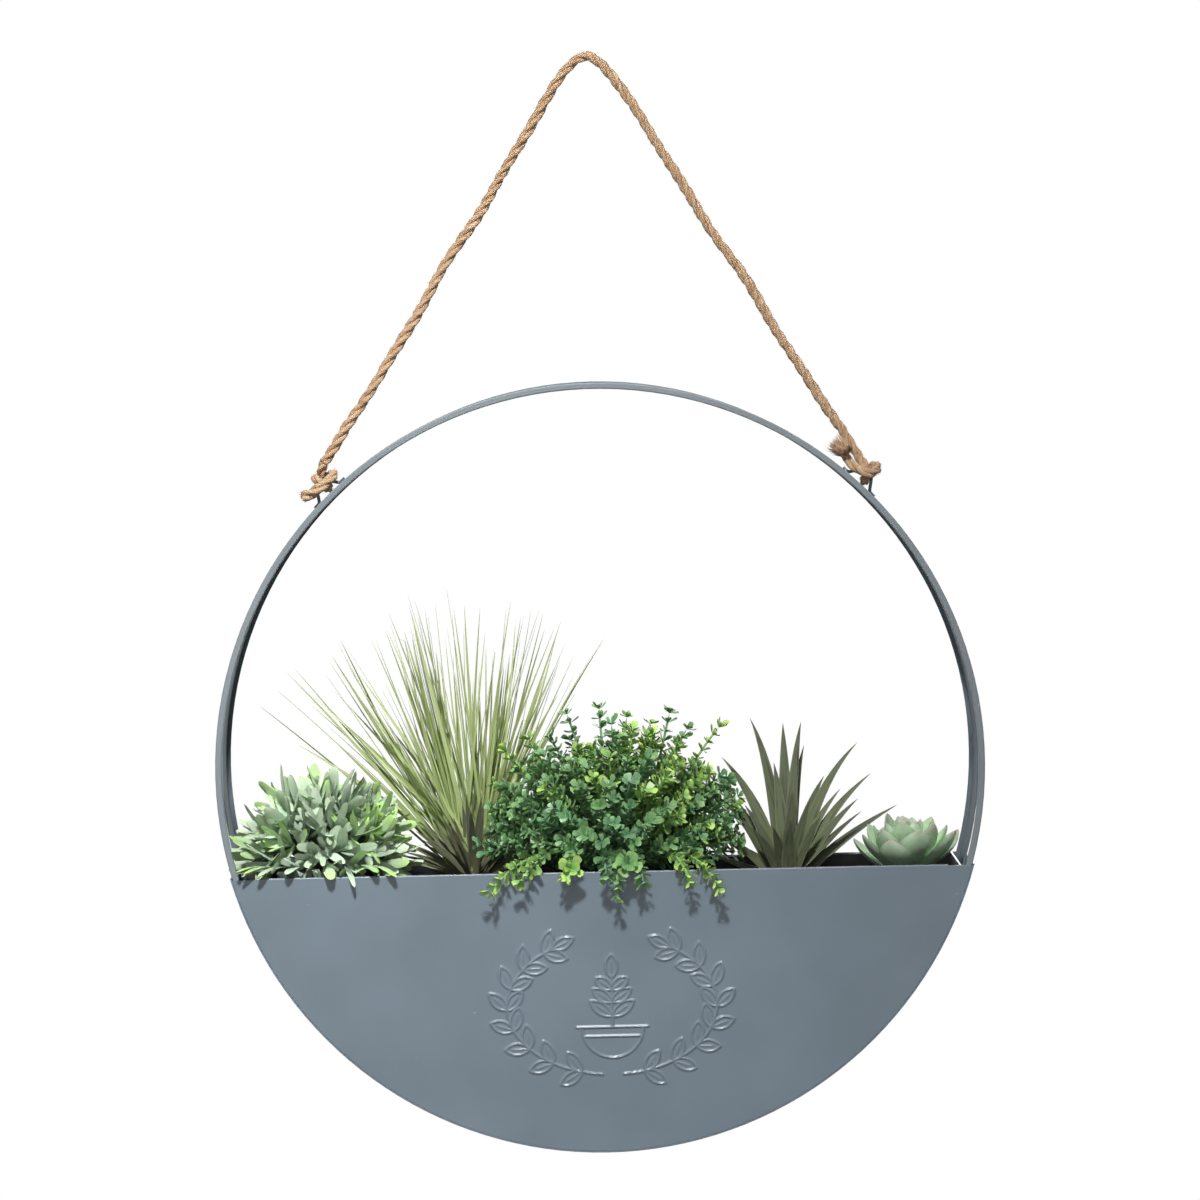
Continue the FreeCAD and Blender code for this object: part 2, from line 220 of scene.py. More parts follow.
# %% Jute finish
# Raw jute is a dull, dry plant fibre: straw brown, streaked along its yarns, with no shine to speak of.
# The marks at the corners are already counted in streaks, so the pattern's scale is 1.
jute, tree, shader = surface("raw_jute_fibre", {"Roughness": 0.85, "Specular IOR Level": 0.25,
                                                "Sheen Weight": 0.25})
along = add(tree, "Attribute", out="Fac", attribute_name="along")
around = add(tree, "Attribute", out="Fac", attribute_name="around")
place = add(tree, "CombineXYZ", {"X": along, "Y": around})
streaks = add(tree, "TexNoise", {"Vector": place, "Scale": 1.0, "Detail": 4.0})
brown = add(tree, "ValToRGB", {"Fac": streaks},
            stops=[(0.30, "#A07E5E"), (0.47, "#C29F7B"), (0.60, "#D3B390"), (0.75, "#E2CAAB")])
ridge = add(tree, "Bump", {"Height": streaks, "Strength": 0.4, "Distance": 0.4 * MM})
fill(tree, shader, {"Base Color": brown, "Normal": ridge})


def jute_piece(name, made, stands_for=()):
    """Piece of rope or fibre that belongs to the hanger."""
    points, faces, marks = made
    return make_piece(name, points, faces, [jute], "hanger", "jute", stands_for, marks)


print("jute:", len(tree.nodes), "nodes")

# %% [markdown]
# The route is a short list of points, the same ones that the construction's plain tube follows, with four
# more that keep the long legs straight. A smooth line through them comes from Blender's own NURBS curve,
# and the strands are wound about the points that are read back from it.

# %% Rope route
ROPE = 6.5                        # diameter of the rope
ROPE_STEP = 1.1                   # spacing of the rings of corners along it
rope_route = [(-177.6, 0, -261.0), (-168.5, 0, -249.2), (-152.0, 0, -223.4), (-28.6, 0, -30.5),
              (-7.0, 0, ROPE / 2), (9.0, 0, ROPE / 2), (30.0, 0, -30.7), (150.0, 0, -224.8),
              (173.0, 0, -262.0)]


def length_of(line):
    """Distance from the start of a line to each of its points."""
    return np.concatenate([[0.0], np.cumsum(np.linalg.norm(np.diff(line, axis=0), axis=1))])


def smooth_line(route, step):
    """Evenly spaced points on the NURBS line of a route."""
    curve = bpy.data.curves.new("route", "CURVE")
    curve.dimensions = "3D"
    curve.resolution_u = 24
    spline = curve.splines.new("NURBS")
    spline.points.add(len(route) - 1)
    for point, at in zip(spline.points, route):
        point.co = (*at, 1.0)
    spline.order_u = 3
    spline.use_endpoint_u = True
    holder = bpy.data.objects.new("route", curve)
    mesh = bpy.data.meshes.new_from_object(holder)
    raw = np.array([v.co for v in mesh.vertices])
    bpy.data.objects.remove(holder)
    bpy.data.meshes.remove(mesh)
    bpy.data.curves.remove(curve)
    walked = length_of(raw)
    stations = np.linspace(0.0, walked[-1], max(4, round(walked[-1] / step) + 1))
    return np.stack([np.interp(stations, walked, raw[:, k]) for k in range(3)], axis=1)


rope_line = smooth_line(rope_route, ROPE_STEP)
rope_length = float(length_of(rope_line)[-1])
print("rope length", round(rope_length, 1), "mm in", len(rope_line), "points")

# %% Strands
LAY = 32.0                        # length in which a strand winds round once
STRANDS = 3
STRAND = 0.55                     # radius of a strand as a share of the rope's; strands press flat inside
CROWN = 1.05                      # how far out a strand's crown stands, as a share of the rope's radius
YARNS, YARN_LAY = 4, 11.0         # yarns round a strand, and the length in which they wind round it once
YARN_RIDGE = 0.07                 # height of a yarn as a share of the strand's radius
SWELL, SWELL_LENGTH = 0.05, 13.0  # how much and how often the rope thickens and thins
TWIST_WAVES = ((0.6, 31.0), (0.4, 17.0))   # a hand-laid twist runs ahead and behind: angle and length
STREAK = 6.25                     # length of a streak in the fibre
STREAKS_ROUND = 1.9               # streaks from the front of a strand to its side
STREAK_TWIST = 4.0                # length in which the streaks turn by one radian
STRAND_SHIFT = 7.0                # how many streaks apart the strands lie in the pattern


def carried_frames(line):
    """Directions along a line, and two across it that turn no more than the line does."""
    ahead = np.gradient(line, axis=0)
    ahead /= np.linalg.norm(ahead, axis=1)[:, None]
    side = np.zeros_like(line)
    first = np.cross(ahead[0], (0.0, 1.0, 0.0))
    side[0] = first / np.linalg.norm(first)
    for k in range(1, len(line)):
        kept = side[k - 1] - ahead[k] * (side[k - 1] @ ahead[k])
        side[k] = kept / np.linalg.norm(kept)
    return ahead, side, np.cross(ahead, side)


def wound(walked, lay=LAY):
    """Angle that the strands have turned through after a length of rope."""
    angle = 2 * math.pi * walked / lay
    for size, length in TWIST_WAVES:
        angle += size * math.sin(walked / length)
    return angle


def laid_rope(line, girths, lay=LAY, start_angle=0.0, sides=14):
    """Strands with yarn ridges about a line: points, faces and the marks that the jute reads.
    Girths are diameters of the rope, spread evenly from its start to its end."""
    ahead, side, over = carried_frames(line)
    walked = length_of(line)
    half = np.interp(walked, np.linspace(0.0, walked[-1], len(girths)), girths) / 2
    half *= 1.0 + SWELL * np.sin(walked / SWELL_LENGTH)
    points, faces, marks = [], [], {"along": [], "around": []}
    for number in range(STRANDS):
        start = len(points)
        for k, middle in enumerate(line):
            phase = start_angle + wound(walked[k], lay) + 2 * math.pi * number / STRANDS
            out = math.cos(phase) * side[k] + math.sin(phase) * over[k]
            beside = np.cross(ahead[k], out)
            for j in range(sides):
                turn = 2 * math.pi * j / sides
                yarn = math.cos(YARNS * turn - 2 * math.pi * walked[k] / YARN_LAY + number)
                reach = STRAND * (1.0 + YARN_RIDGE * yarn)
                points.append(middle + half[k] * (out * (CROWN - STRAND + reach * math.cos(turn))
                                                  + beside * (reach * math.sin(turn))))
                marks["along"].append(walked[k] / STREAK + STRAND_SHIFT * number)
                marks["around"].append(STREAKS_ROUND * math.cos(turn - walked[k] / STREAK_TWIST))
        for k in range(len(line) - 1):
            for j in range(sides):
                a, b = start + k * sides + j, start + k * sides + (j + 1) % sides
                faces.append((a, b, b + sides, a + sides))
        faces.append(tuple(range(start + sides - 1, start - 1, -1)))
        faces.append(tuple(range(start + (len(line) - 1) * sides, start + len(line) * sides)))
    return points, faces, marks


print("each strand winds round", round(wound(rope_length) / (2 * math.pi), 1), "times from knot to knot")

# %% Rope
SWAY_WAVES = ((0.7, 19.0), (0.5, 11.0))    # the rope is never quite straight: size and length of its waves
HELD = 30.0                       # length at each end over which the knots pull it straight
stations = np.linspace(0.0, rope_length, len(rope_line))
sway = sum(size * np.sin(stations / length) for size, length in SWAY_WAVES)
sway *= np.minimum(1.0, np.minimum(stations, rope_length - stations) / HELD)
swayed_line = rope_line + carried_frames(rope_line)[1] * sway[:, None]
rope = jute_piece("jute_rope", laid_rope(swayed_line, [ROPE, ROPE]), ["rope"])

# %% Loose fibres
FIBRE_ROOT = 0.42                 # distance of a fibre's root from the middle, as a share of the diameter
FIBRE_SHADES = 17                 # fibres come in this many places of the jute's pattern


def spike(points, faces, marks, root, tip, across, width):
    """Thin three-sided fibre that tapers to a point."""
    start = len(points)
    heading = tip - root
    beside = np.cross(heading, across)
    beside *= width / max(np.linalg.norm(beside), 1e-9)
    across = np.cross(beside, heading)
    across *= width / max(np.linalg.norm(across), 1e-9)
    points += [root + beside, root - 0.5 * beside + across, root - 0.5 * beside - across, tip]
    faces += [(start, start + 1, start + 3), (start + 1, start + 2, start + 3),
              (start + 2, start, start + 3), (start + 2, start + 1, start)]
    marks["along"] += [0.0, 0.0, 0.0, 1.0]
    marks["around"] += [float(start % FIBRE_SHADES)] * 4


def fuzz(line, count, longest, seed, free=None):
    """Loose fibres that stand off a rope, without those that a test does not find free."""
    rng = random.Random(seed)
    ahead, side, over = carried_frames(line)
    points, faces, marks = [], [], {"along": [], "around": []}
    for _ in range(count):
        k = rng.randrange(len(line))
        turn = rng.uniform(0, 2 * math.pi)
        out = math.cos(turn) * side[k] + math.sin(turn) * over[k]
        root = line[k] + out * (FIBRE_ROOT * ROPE)
        lean = ahead[k] * rng.choice((-1, 1)) * rng.uniform(0.4, 1.6)
        lean = lean + np.cross(ahead[k], out) * rng.uniform(-1, 1)
        tip = root + (out * rng.uniform(0.3, 1.0) + lean) * longest * rng.uniform(0.3, 0.75)
        width = rng.uniform(0.06, 0.13)
        if free is None or free(root, tip):
            spike(points, faces, marks, root, tip, ahead[k] + 0.1 * out, width)
    return points, faces, marks


rope_fuzz = jute_piece("rope_fuzz", fuzz(swayed_line, count=1600, longest=3.6, seed=3))

# %% [markdown]
# ## Knots
# Each end of the rope is hitched round a wire eyelet. The left hitch goes on round its own rope and ends in
# a short cut tail across its front. The right one crosses its own front and ends beside the rope, in a tail
# that has come apart into a brush. Both are the same laid rope as above on a tighter line, so that strands
# run on through the knot.
# The planter swings forward under them, and its rear hoop comes up against their front. So both lines keep
# off the hoop and the wire at every angle, the rope is drawn thin where it is hitched, and a loose fibre
# that would be in the way is left out.

# %% Knot lines
KNOT_LAY = 30.0                   # the strands wind a little tighter in a knot
KNOT_STEP = 0.7                   # spacing of the rings of corners in a knot
eyelet_turn = math.radians(45.8)  # place of the eyelets on the ring, up from the horizontal
planter_swing = frame["joints"][0]          # its axis runs through the crowns of both eyelets
crown_z = planter_swing["pos_m"][2] / MM
crown_reach = (crown_z - ring_middle.z) / math.sin(eyelet_turn)


def at_crown(side, along, outward, forward):
    """Point by its distances from the middle of an eyelet's crown: up the wire, off the hoop, forward."""
    up_wire = np.array((-side * math.sin(eyelet_turn), 0.0, math.cos(eyelet_turn)))
    off_hoop = np.array((side * math.cos(eyelet_turn), 0.0, math.sin(eyelet_turn)))
    return np.array((0.0, -forward, ring_middle.z)) + off_hoop * (crown_reach + outward) + up_wire * along


def knot_line(side, rope_end, turns):
    """Line that goes on from an end of the rope through the turns of a knot."""
    return smooth_line([rope_end] + [tuple(at_crown(side, *spot)) for spot in turns], KNOT_STEP)


# Down behind the wire, under it and up in front, over it, round the standing rope and across the front
left_turns = [(8.0, 7.4, -1.0), (5.2, 5.0, -3.9), (3.2, 0.4, -6.7), (2.1, -5.3, -4.3), (1.2, -5.6, 3.0),
              (1.0, 0.0, 6.0), (0.5, 6.0, 2.5), (-0.5, 5.0, -4.5), (3.0, 2.2, -10.5), (7.8, 0.2, -8.5),
              (11.6, -0.8, -0.5), (8.2, -2.4, 6.6), (1.6, -1.3, 9.8), (-4.5, -0.8, 9.5), (-9.6, 0.8, 8.0),
              (-13.6, 2.2, 7.0)]
# Down before the wire, under it and up behind, round to the front, across to the left, up beside the rope
right_turns = [(8.7, 3.6, 1.5), (3.2, 1.9, 5.3), (-0.7, -1.3, 6.3), (-1.7, -5.6, 3.0), (-3.0, -5.3, -3.7),
               (-1.5, 1.0, -6.1), (1.0, 6.9, -5.0), (-2.3, 8.4, 0.0), (-3.4, 3.9, 8.0), (1.3, -1.3, 11.0),
               (7.2, -2.1, 8.0), (11.9, -3.3, 3.5), (14.8, -2.2, -0.4), (18.4, -1.2, 1.6), (22.9, -0.2, 3.4)]
left_line = knot_line(-1, rope_route[0], left_turns)
right_line = knot_line(1, rope_route[-1], right_turns)
left_girths = [ROPE, 5.8, 5.4, 5.8, 6.4, 7.0, 7.6]
right_girths = [ROPE, 5.8, 5.4, 5.8, 6.6, 6.4, 5.6]
print("rope in the knots:", [round(float(length_of(line)[-1]), 1) for line in (left_line, right_line)], "mm")

# %% Knots
# The strands go on from the rope's: the left line runs back from its start, the right one on from its end
rope_wound = wound(length_of(swayed_line)[-1])
left_knot = jute_piece("left_knot_rope", laid_rope(left_line, left_girths, KNOT_LAY, math.pi),
                       ["left_knot"])
right_knot = jute_piece("right_knot_rope", laid_rope(right_line, right_girths, KNOT_LAY, rope_wound),
                        ["right_knot"])

# %% Room for the swing
WIRE = 2.2                        # diameter of the eyelets' wire
foot_end, foot_bend, crown_bend = 14.0, 9.5, 4.0   # distances from the middle of an eyelet, along its wire
foot_drop = -7.75                 # middle of the feet's wire, seen from that of the crown
wire_bends = [(foot_end, foot_drop), (foot_bend, foot_drop), (crown_bend, 0.0),
              (-crown_bend, 0.0), (-foot_bend, foot_drop), (-foot_end, foot_drop)]
hoop_low, hoop_high = box_mm("rear_hoop")
hoop_radius = hoop_high.z - ring_middle.z
swing = [math.radians(angle) for angle in np.linspace(*planter_swing["range_deg"], 4)]


def wire_of(side):
    """Points along the middle of an eyelet's wire, from foot to foot."""
    bends = np.array([at_crown(side, along, outward, 0.0) for along, outward in wire_bends])
    return np.concatenate([np.linspace(a, b, 12) for a, b in zip(bends, bends[1:])])


def kept_free(wire, room=0.3):
    """Test that a fibre stays off the rear hoop and a wire while the planter swings under it."""
    def free(root, tip):
        x, y, z = np.linspace(root, tip, 5).T
        for turn in swing:
            ahead = y * math.cos(turn) - (z - crown_z) * math.sin(turn)
            height = y * math.sin(turn) + (z - crown_z) * math.cos(turn) + crown_z
            over = (ahead > hoop_low.y - room) & (ahead < hoop_high.y + room)
            off_hoop = np.hypot(x, height - ring_middle.z) - hoop_radius
            along = np.stack([x, ahead, height], axis=1)[:, None]
            off_wire = np.linalg.norm(along - wire, axis=2) - WIRE / 2
            if (over & (off_hoop < room)).any() or off_wire.min() < room:
                return False
        return True
    return free


left_free, right_free = kept_free(wire_of(-1)), kept_free(wire_of(1))
print("rear hoop radius", round(hoop_radius, 2), "swing tried at", [round(turn, 2) for turn in swing])

# %% Frayed brush and fuzz of the knots
ROOT_SPREAD = 2.6                 # how far apart the fibres of an end start


def brush(root, heading, count, length, spread, seed, free):
    """Bundle of fibres that opens out from a rope's end, without those that are not free."""
    rng = random.Random(seed)
    points, faces, marks = [], [], {"along": [], "around": []}
    for _ in range(count):
        off = np.array([rng.gauss(0, 0.5) for _ in range(3)])
        off -= heading * (off @ heading)
        tip = root + heading * length * rng.uniform(0.55, 1.05) + off * spread
        width = rng.uniform(0.25, 0.5)
        start = root + off * ROOT_SPREAD
        if free(start, tip):
            spike(points, faces, marks, start, tip, off + (0.1, 0.2, 0.3), width)
    return points, faces, marks


brush_way = np.array((-0.75, -0.08, 0.65))
right_brush = jute_piece("right_knot_brush", brush(
    right_line[-1] - brush_way * 5.0, brush_way, count=560, length=14.5, spread=8.5, seed=5,
    free=kept_free(wire_of(1), room=1.0)))
cut_way = (left_line[-1] - left_line[-6]) / np.linalg.norm(left_line[-1] - left_line[-6])
left_cut = jute_piece("left_knot_cut_end", brush(
    left_line[-1] - cut_way * 2.0, cut_way, count=130, length=4.2, spread=3.4, seed=6, free=left_free))
knot_fuzz = [jute_piece(name, fuzz(line, count=420, longest=3.4, seed=seed, free=free))
             for name, line, seed, free in (("left_knot_fuzz", left_line, 11, left_free),
                                            ("right_knot_fuzz", right_line, 12, right_free))]

# %% [markdown]
# ## Painted steel
# Panels, band and hoops are mild steel with a baked powder coat. Powder melts into a skin that is never
# quite flat, so the eye sees a satin sheen with soft, slightly uneven highlights on a blue-grey ground.
# One function makes all four coats, from clean and satin on the panels to dusty and matt on the rear hoop,
# whose coat is also a little darker as painted shade, because they differ only in colour, sheen and wear.

# %% Powder coat
CLOUD, GRIT = 70.0, 3.2           # width of the soft clouds in the coat, and of a chip in it
PEEL = 2.0                        # width of the waves in its skin, about the finest that the picture can show
bare_edge = "#D8DBDC"             # bright metal where the coat is knocked off


def powder_coat(name, deep, pale, sheen, chips, mirror=0.5):
    """Powder coat; sheen is its lowest and highest roughness, chips how much is knocked off, from 0 to 1,
    and mirror how much it reflects, where 0.5 is a clean skin and less a dusty one."""
    material, tree, shader = surface(name, {"IOR": 1.5, "Specular IOR Level": mirror})
    place = add(tree, "TexCoord", out="Object")
    cloud = add(tree, "TexNoise", {"Vector": place, "Scale": per_mm(CLOUD), "Detail": 3.0})
    ground = add(tree, "ValToRGB", {"Fac": cloud}, stops=[(0.3, deep), (0.7, pale)])
    grit = add(tree, "TexNoise", {"Vector": place, "Scale": per_mm(GRIT), "Detail": 2.0})
    knocked = add(tree, "MapRange", {"Value": grit, "From Min": 0.80 - 0.2 * chips,
                                     "From Max": 0.82 - 0.2 * chips})
    mixed = add(tree, "MixRGB", {"Fac": knocked, "Color1": ground, "Color2": colour(bare_edge)})
    rough = add(tree, "MapRange", {"Value": cloud, "From Min": 0.3, "From Max": 0.7,
                                   "To Min": sheen[0], "To Max": sheen[1]})
    peel = add(tree, "TexNoise", {"Vector": place, "Scale": per_mm(PEEL), "Detail": 1.0})
    wavy = add(tree, "Bump", {"Height": peel, "Strength": 0.05, "Distance": 0.08 * MM})
    fill(tree, shader, {"Base Color": mixed, "Roughness": rough, "Normal": wavy})
    return material


coated_steel = powder_coat("satin_powder_coated_steel", "#697781", "#73818C", (0.30, 0.38), 0.0)
coated_bar = powder_coat("worn_powder_coated_bar", "#7A8388", "#858E93", (0.42, 0.52), 0.2)
chipped_wire = powder_coat("chipped_powder_coated_wire", "#56616A", "#65727A", (0.36, 0.44), 0.75)
# The rear hoop's coat is a shade darker than the panels': painted shade for its inner faces, which face away
# from the lamps.
matt_angle_painted_shade = powder_coat("matt_powder_coated_angle_painted_shade", "#65717A", "#707D85", (0.60, 0.72), 0.0, mirror=0.25)
paint(coated_steel, "front_panel", "back_panel", "trough_band")
paint(coated_bar, "front_hoop")
paint(matt_angle_painted_shade, "rear_hoop")
paint(chipped_wire, "left_eyelet", "right_eyelet")

# %% [markdown]
# ## The stamped ornament
# The front panel carries a raised ornament, pressed into the sheet from behind. Here it is a plain garden
# motif: a sprig in a round bowl inside a wreath. A bump pattern would vanish on edge, so the relief is a
# fine grid whose points stand forward by a height worked out from the distance to each drawn line.

# %% Drawing tools of the ornament
relief_middle = np.array((4.5, rim_z - 87.0))
relief_half = np.array((84.0, 61.0))
relief_step = 0.6
LINE = 0.75                       # half width of a drawn line
SOFT = 1.3                        # width of the rounded shoulder beside it
RAISED = 0.95                     # height of a line above the panel
RIB, PILLOW = 0.8, 0.35           # height of a leaf's midrib and of its blade, as a share of a line's
RIB_THIN = 0.25                   # how much less half width a midrib has than a line
columns = np.arange(-relief_half[0], relief_half[0] + relief_step / 2, relief_step)
rows = np.arange(-relief_half[1], relief_half[1] + relief_step / 2, relief_step)
grid_x, grid_z = np.meshgrid(columns, rows, indexing="ij")
height = np.zeros_like(grid_x)


def to_run(a, b):
    """Distance of every grid point from the straight line between two points."""
    a, b = np.array(a, float), np.array(b, float)
    run = b - a
    part = ((grid_x - a[0]) * run[0] + (grid_z - a[1]) * run[1]) / max(run @ run, 1e-9)
    part = np.clip(part, 0.0, 1.0)
    return np.hypot(grid_x - a[0] - part * run[0], grid_z - a[1] - part * run[1])


def to_leaf(foot, tip, half_width):
    """Signed distance from the edge of a lens-shaped leaf, negative inside it."""
    foot, tip = np.array(foot, float), np.array(tip, float)
    half = np.linalg.norm(tip - foot) / 2
    heading = (tip - foot) / (2 * half)
    middle = (foot + tip) / 2
    far = (grid_x - middle[0]) * heading[0] + (grid_z - middle[1]) * heading[1]
    beside = np.abs((grid_x - middle[0]) * heading[1] - (grid_z - middle[1]) * heading[0])
    radius = (half ** 2 + half_width ** 2) / (2 * half_width)
    return np.hypot(beside + radius - half_width, far) - radius


def raised(distance, full):
    """Rounded step: full height inside a line, nothing beyond its shoulder."""
    part = np.clip((LINE + SOFT / 2 - distance) / SOFT, 0.0, 1.0)
    return full * part * part * (3 - 2 * part)


def draw_leaf(foot, heading, length, half_width):
    """Raised outline with a midrib and a lower, pillowed blade."""
    tip = np.array(foot) + length * np.array((math.cos(heading), math.sin(heading)))
    edge = to_leaf(foot, tip, half_width)
    rib_end = np.array(foot) * 0.3 + tip * 0.7
    rib = to_run(foot, rib_end) + RIB_THIN
    pillow = PILLOW * RAISED * np.clip(-edge / half_width, 0.0, 1.0) ** 0.5
    for form in (raised(np.abs(edge), RAISED), raised(rib, RIB * RAISED), pillow):
        np.maximum(height, form, out=height)


def draw_line(points):
    """Raised line through a list of points."""
    distance = np.minimum.reduce([to_run(a, b) for a, b in zip(points, points[1:])])
    np.maximum(height, raised(distance, RAISED), out=height)


print("ornament grid", grid_x.shape)

# %% Wreath, bowl and sprig
wreath_x, wreath_z = 68.0, 45.0   # half width and half height of the wreath
wreath_start, wreath_sweep, wreath_runs = -84.0, 140.0, 24   # each branch: first angle, sweep and runs
leaf_lean = 0.75                  # angle between a leaf and its branch, in radians
bowl, bowl_z = 20.0, -14.0        # radius of the bowl and height of its rim
for side in (-1, 1):
    branch = []
    for k in range(wreath_runs + 1):
        turn = math.radians(wreath_start + wreath_sweep * k / wreath_runs)
        branch.append((side * wreath_x * math.cos(turn), wreath_z * math.sin(turn)))
    draw_line(branch)
    for k in range(2, wreath_runs, 3):
        (x0, z0), (x1, z1) = branch[k - 1], branch[k + 1]
        course = math.atan2(z1 - z0, x1 - x0)
        for lean in (-leaf_lean, leaf_lean):
            draw_leaf(branch[k], course + lean, length=15.5, half_width=3.6)
    (x0, z0), (x1, z1) = branch[-2], branch[-1]
    draw_leaf(branch[-1], math.atan2(z1 - z0, x1 - x0), length=15.0, half_width=3.4)
draw_line([(bowl * math.cos(math.radians(a)), bowl_z + bowl * math.sin(math.radians(a)))
           for a in range(180, 361, 9)])
draw_line([(-bowl - 3.0, bowl_z), (bowl + 3.0, bowl_z)])
draw_line([(2.5 - bowl, bowl_z - 6.0), (bowl - 2.5, bowl_z - 6.0)])
draw_line([(0.0, bowl_z), (0.0, 20.0)])
for z, length in ((-7.0, 17.0), (2.0, 15.0), (10.5, 12.5)):
    for lean in (math.radians(35), math.radians(145)):
        draw_leaf((0.0, z), lean, length, half_width=3.5)
draw_leaf((0.0, 18.0), math.pi / 2, length=15.0, half_width=3.8)
print("ornament stands", round(float(height.max()), 2), "mm off the panel")


# %% Ornament mesh
def closed_slab(front, back):
    """Closed mesh between two grids of points with the same layout."""
    across, down = front.shape[:2]
    shift = across * down
    points = np.concatenate([front.reshape(-1, 3), back.reshape(-1, 3)])
    number = np.arange(shift).reshape(across, down)
    quads = np.stack([number[:-1, :-1], number[1:, :-1], number[1:, 1:], number[:-1, 1:]], axis=2)
    faces = []
    for a, b, c, d in quads.reshape(-1, 4).tolist():
        faces += [(a, b, c, d), (d + shift, c + shift, b + shift, a + shift)]
    rim = np.concatenate([number[:, 0], number[-1, 1:], number[-2::-1, -1], number[0, -2:0:-1]]).tolist()
    for a, b in zip(rim, rim[1:] + rim[:1]):
        faces.append((b, a, a + shift, b + shift))
    return points.tolist(), faces


SKIN = 0.03                       # the patch starts this far before the panel, so that the two never fight
SUNK = 0.4                        # its back lies this deep in the sheet
front = np.stack([grid_x + relief_middle[0], front_y - SKIN - height, grid_z + relief_middle[1]], axis=2)
back = front.copy()
back[:, :, 1] = front_y + SUNK
make_piece("stamped_ornament", *closed_slab(front, back), [coated_steel], "planter", "painted_steel",
           crease=35)

# %% [markdown]
# ## Liner and planting foam
# Inside the steel lies a black moulded plastic trough, which shows as a dark gloss behind the rim, and in it
# a block of dry black foam. Foam is cut with a saw and crumbles, so its top is a rough field, not a plane.

# %% Liner
# Blow-moulded polypropylene: near black, a soft gloss with faint flow marks.
liner_plastic, tree, shader = surface("black_moulded_polypropylene", {"IOR": 1.49})
place = add(tree, "TexCoord", out="Object")
flow = add(tree, "TexNoise", {"Vector": place, "Scale": per_mm(25), "Detail": 4.0})
shade = add(tree, "ValToRGB", {"Fac": flow}, stops=[(0.3, "#0E0E10"), (0.7, "#1B1B1E")])
gloss = add(tree, "MapRange", {"Value": flow, "To Min": 0.18, "To Max": 0.42})
fill(tree, shader, {"Base Color": shade, "Roughness": gloss})
paint(liner_plastic, "liner")

# %% Foam finish
# Dry phenolic foam, dyed black: open crumbs that swallow light.
foam_crumb, tree, shader = surface("dry_black_foam", {"Roughness": 0.95, "Specular IOR Level": 0.2})
place = add(tree, "TexCoord", out="Object")
crumb = add(tree, "TexNoise", {"Vector": place, "Scale": per_mm(3), "Detail": 5.0})
shade = add(tree, "ValToRGB", {"Fac": crumb}, stops=[(0.35, "#0B0A0A"), (0.6, "#221E1B"), (0.8, "#3A322B")])
pits = add(tree, "Bump", {"Height": crumb, "Strength": 0.8, "Distance": 1.0 * MM})
fill(tree, shader, {"Base Color": shade, "Normal": pits})
print("foam:", len(tree.nodes), "nodes")

# %% Foam block
CRUMBLED = 2.2                    # depth of the pits in its top
FOAM_EDGE = 0.5                   # how far its ends stop short, and how thick it is there
rng = random.Random(21)
foam_depth = foam_high.z - foam_low.z
half_top = foam_high.x
bow = (half_top ** 2 + foam_depth ** 2) / (2 * foam_depth)   # radius of its round underside
foam_x = np.linspace(-half_top + FOAM_EDGE, half_top - FOAM_EDGE, 150)
foam_y = np.linspace(foam_low.y, foam_high.y, 32)
top = np.zeros((len(foam_x), len(foam_y), 3))
for i, x in enumerate(foam_x):
    for j, y in enumerate(foam_y):
        top[i, j] = (x, y, foam_high.z - rng.uniform(0.0, CRUMBLED))
bottom = top.copy()
for i, x in enumerate(foam_x):
    bottom[i, :, 2] = foam_low.z + bow - math.sqrt(bow ** 2 - x ** 2)
    bottom[i, :, 2] = np.minimum(bottom[i, :, 2], top[i, :, 2] - FOAM_EDGE)
make_piece("planting_foam_block", *closed_slab(top, bottom), [foam_crumb], "planter", "foam",
           ["planting_foam"])

# %% [markdown]
# ## Leaves in general
# All five plants are moulded from soft polyethylene. A leaf could be a flat picture on a card, but that
# shows from the side, so here it is a closed strip: stations along a curved spine, each with a small ring
# of corners that is wide across the leaf and thin through it. The corners remember how far along the leaf
# they are, how far to its side, how light the leaf is and how young, and the finishes turn that into colour.

# %% Spines and widths
UP = Vector((0, 0, 1))
GOLDEN_TURN = math.radians(137.5)
THINNEST = 0.12                   # half width that a leaf does not go below, so that it stays closed
RIM_ROOM, BAND_ROOM = 5.0, 25.0   # a leaf that comes this near the panel or the band is lifted
RIM_LIFT = 3.0                    # height above the rim that it is lifted to


def share(k, count):
    """How far along a leaf a station lies; stations crowd towards the tip, which rounds it off."""
    return 1.0 - (1.0 - k / (count - 1)) ** 1.5


def bowed(start, heading, length, pull, stations):
    """Spine that sets out along a heading and is pulled aside more and more."""
    shares = [share(k, stations) for k in range(stations)]
    return [start + heading * (length * t) + pull * (t * t) for t in shares]


def arched(start, over, end, stations):
    """Spine from start to end that is drawn towards a third point on the way."""
    shares = [share(k, stations) for k in range(stations)]
    return [start * (1 - t) ** 2 + over * (2 * t * (1 - t)) + end * t * t for t in shares]


def above_middle(start, end, rise):
    """Point above the middle of two others, for a spine to arch over."""
    return start.lerp(end, 0.5) + Vector((0, 0, rise))


def over_the_rim(spine):
    """Lift the part of a spine that would cut through the front panel or the band onto the rim."""
    for point in spine:
        if point.y < front_y + RIM_ROOM or abs(point.x) > ring_radius - BAND_ROOM:
            point.z = max(point.z, rim_z + RIM_LIFT)
    return spine


def widths_of(shape, half_width, spine):
    """Half width at each station of a spine, by the shape of the leaf."""
    stations = len(spine)
    return [max(half_width * shape(share(k, stations)), THINNEST) for k in range(stations)]


def direction(turn, tilt):
    """Unit vector at an angle round the vertical and a tilt away from it, both in radians."""
    return Vector((math.sin(tilt) * math.cos(turn), math.sin(tilt) * math.sin(turn), math.cos(tilt)))


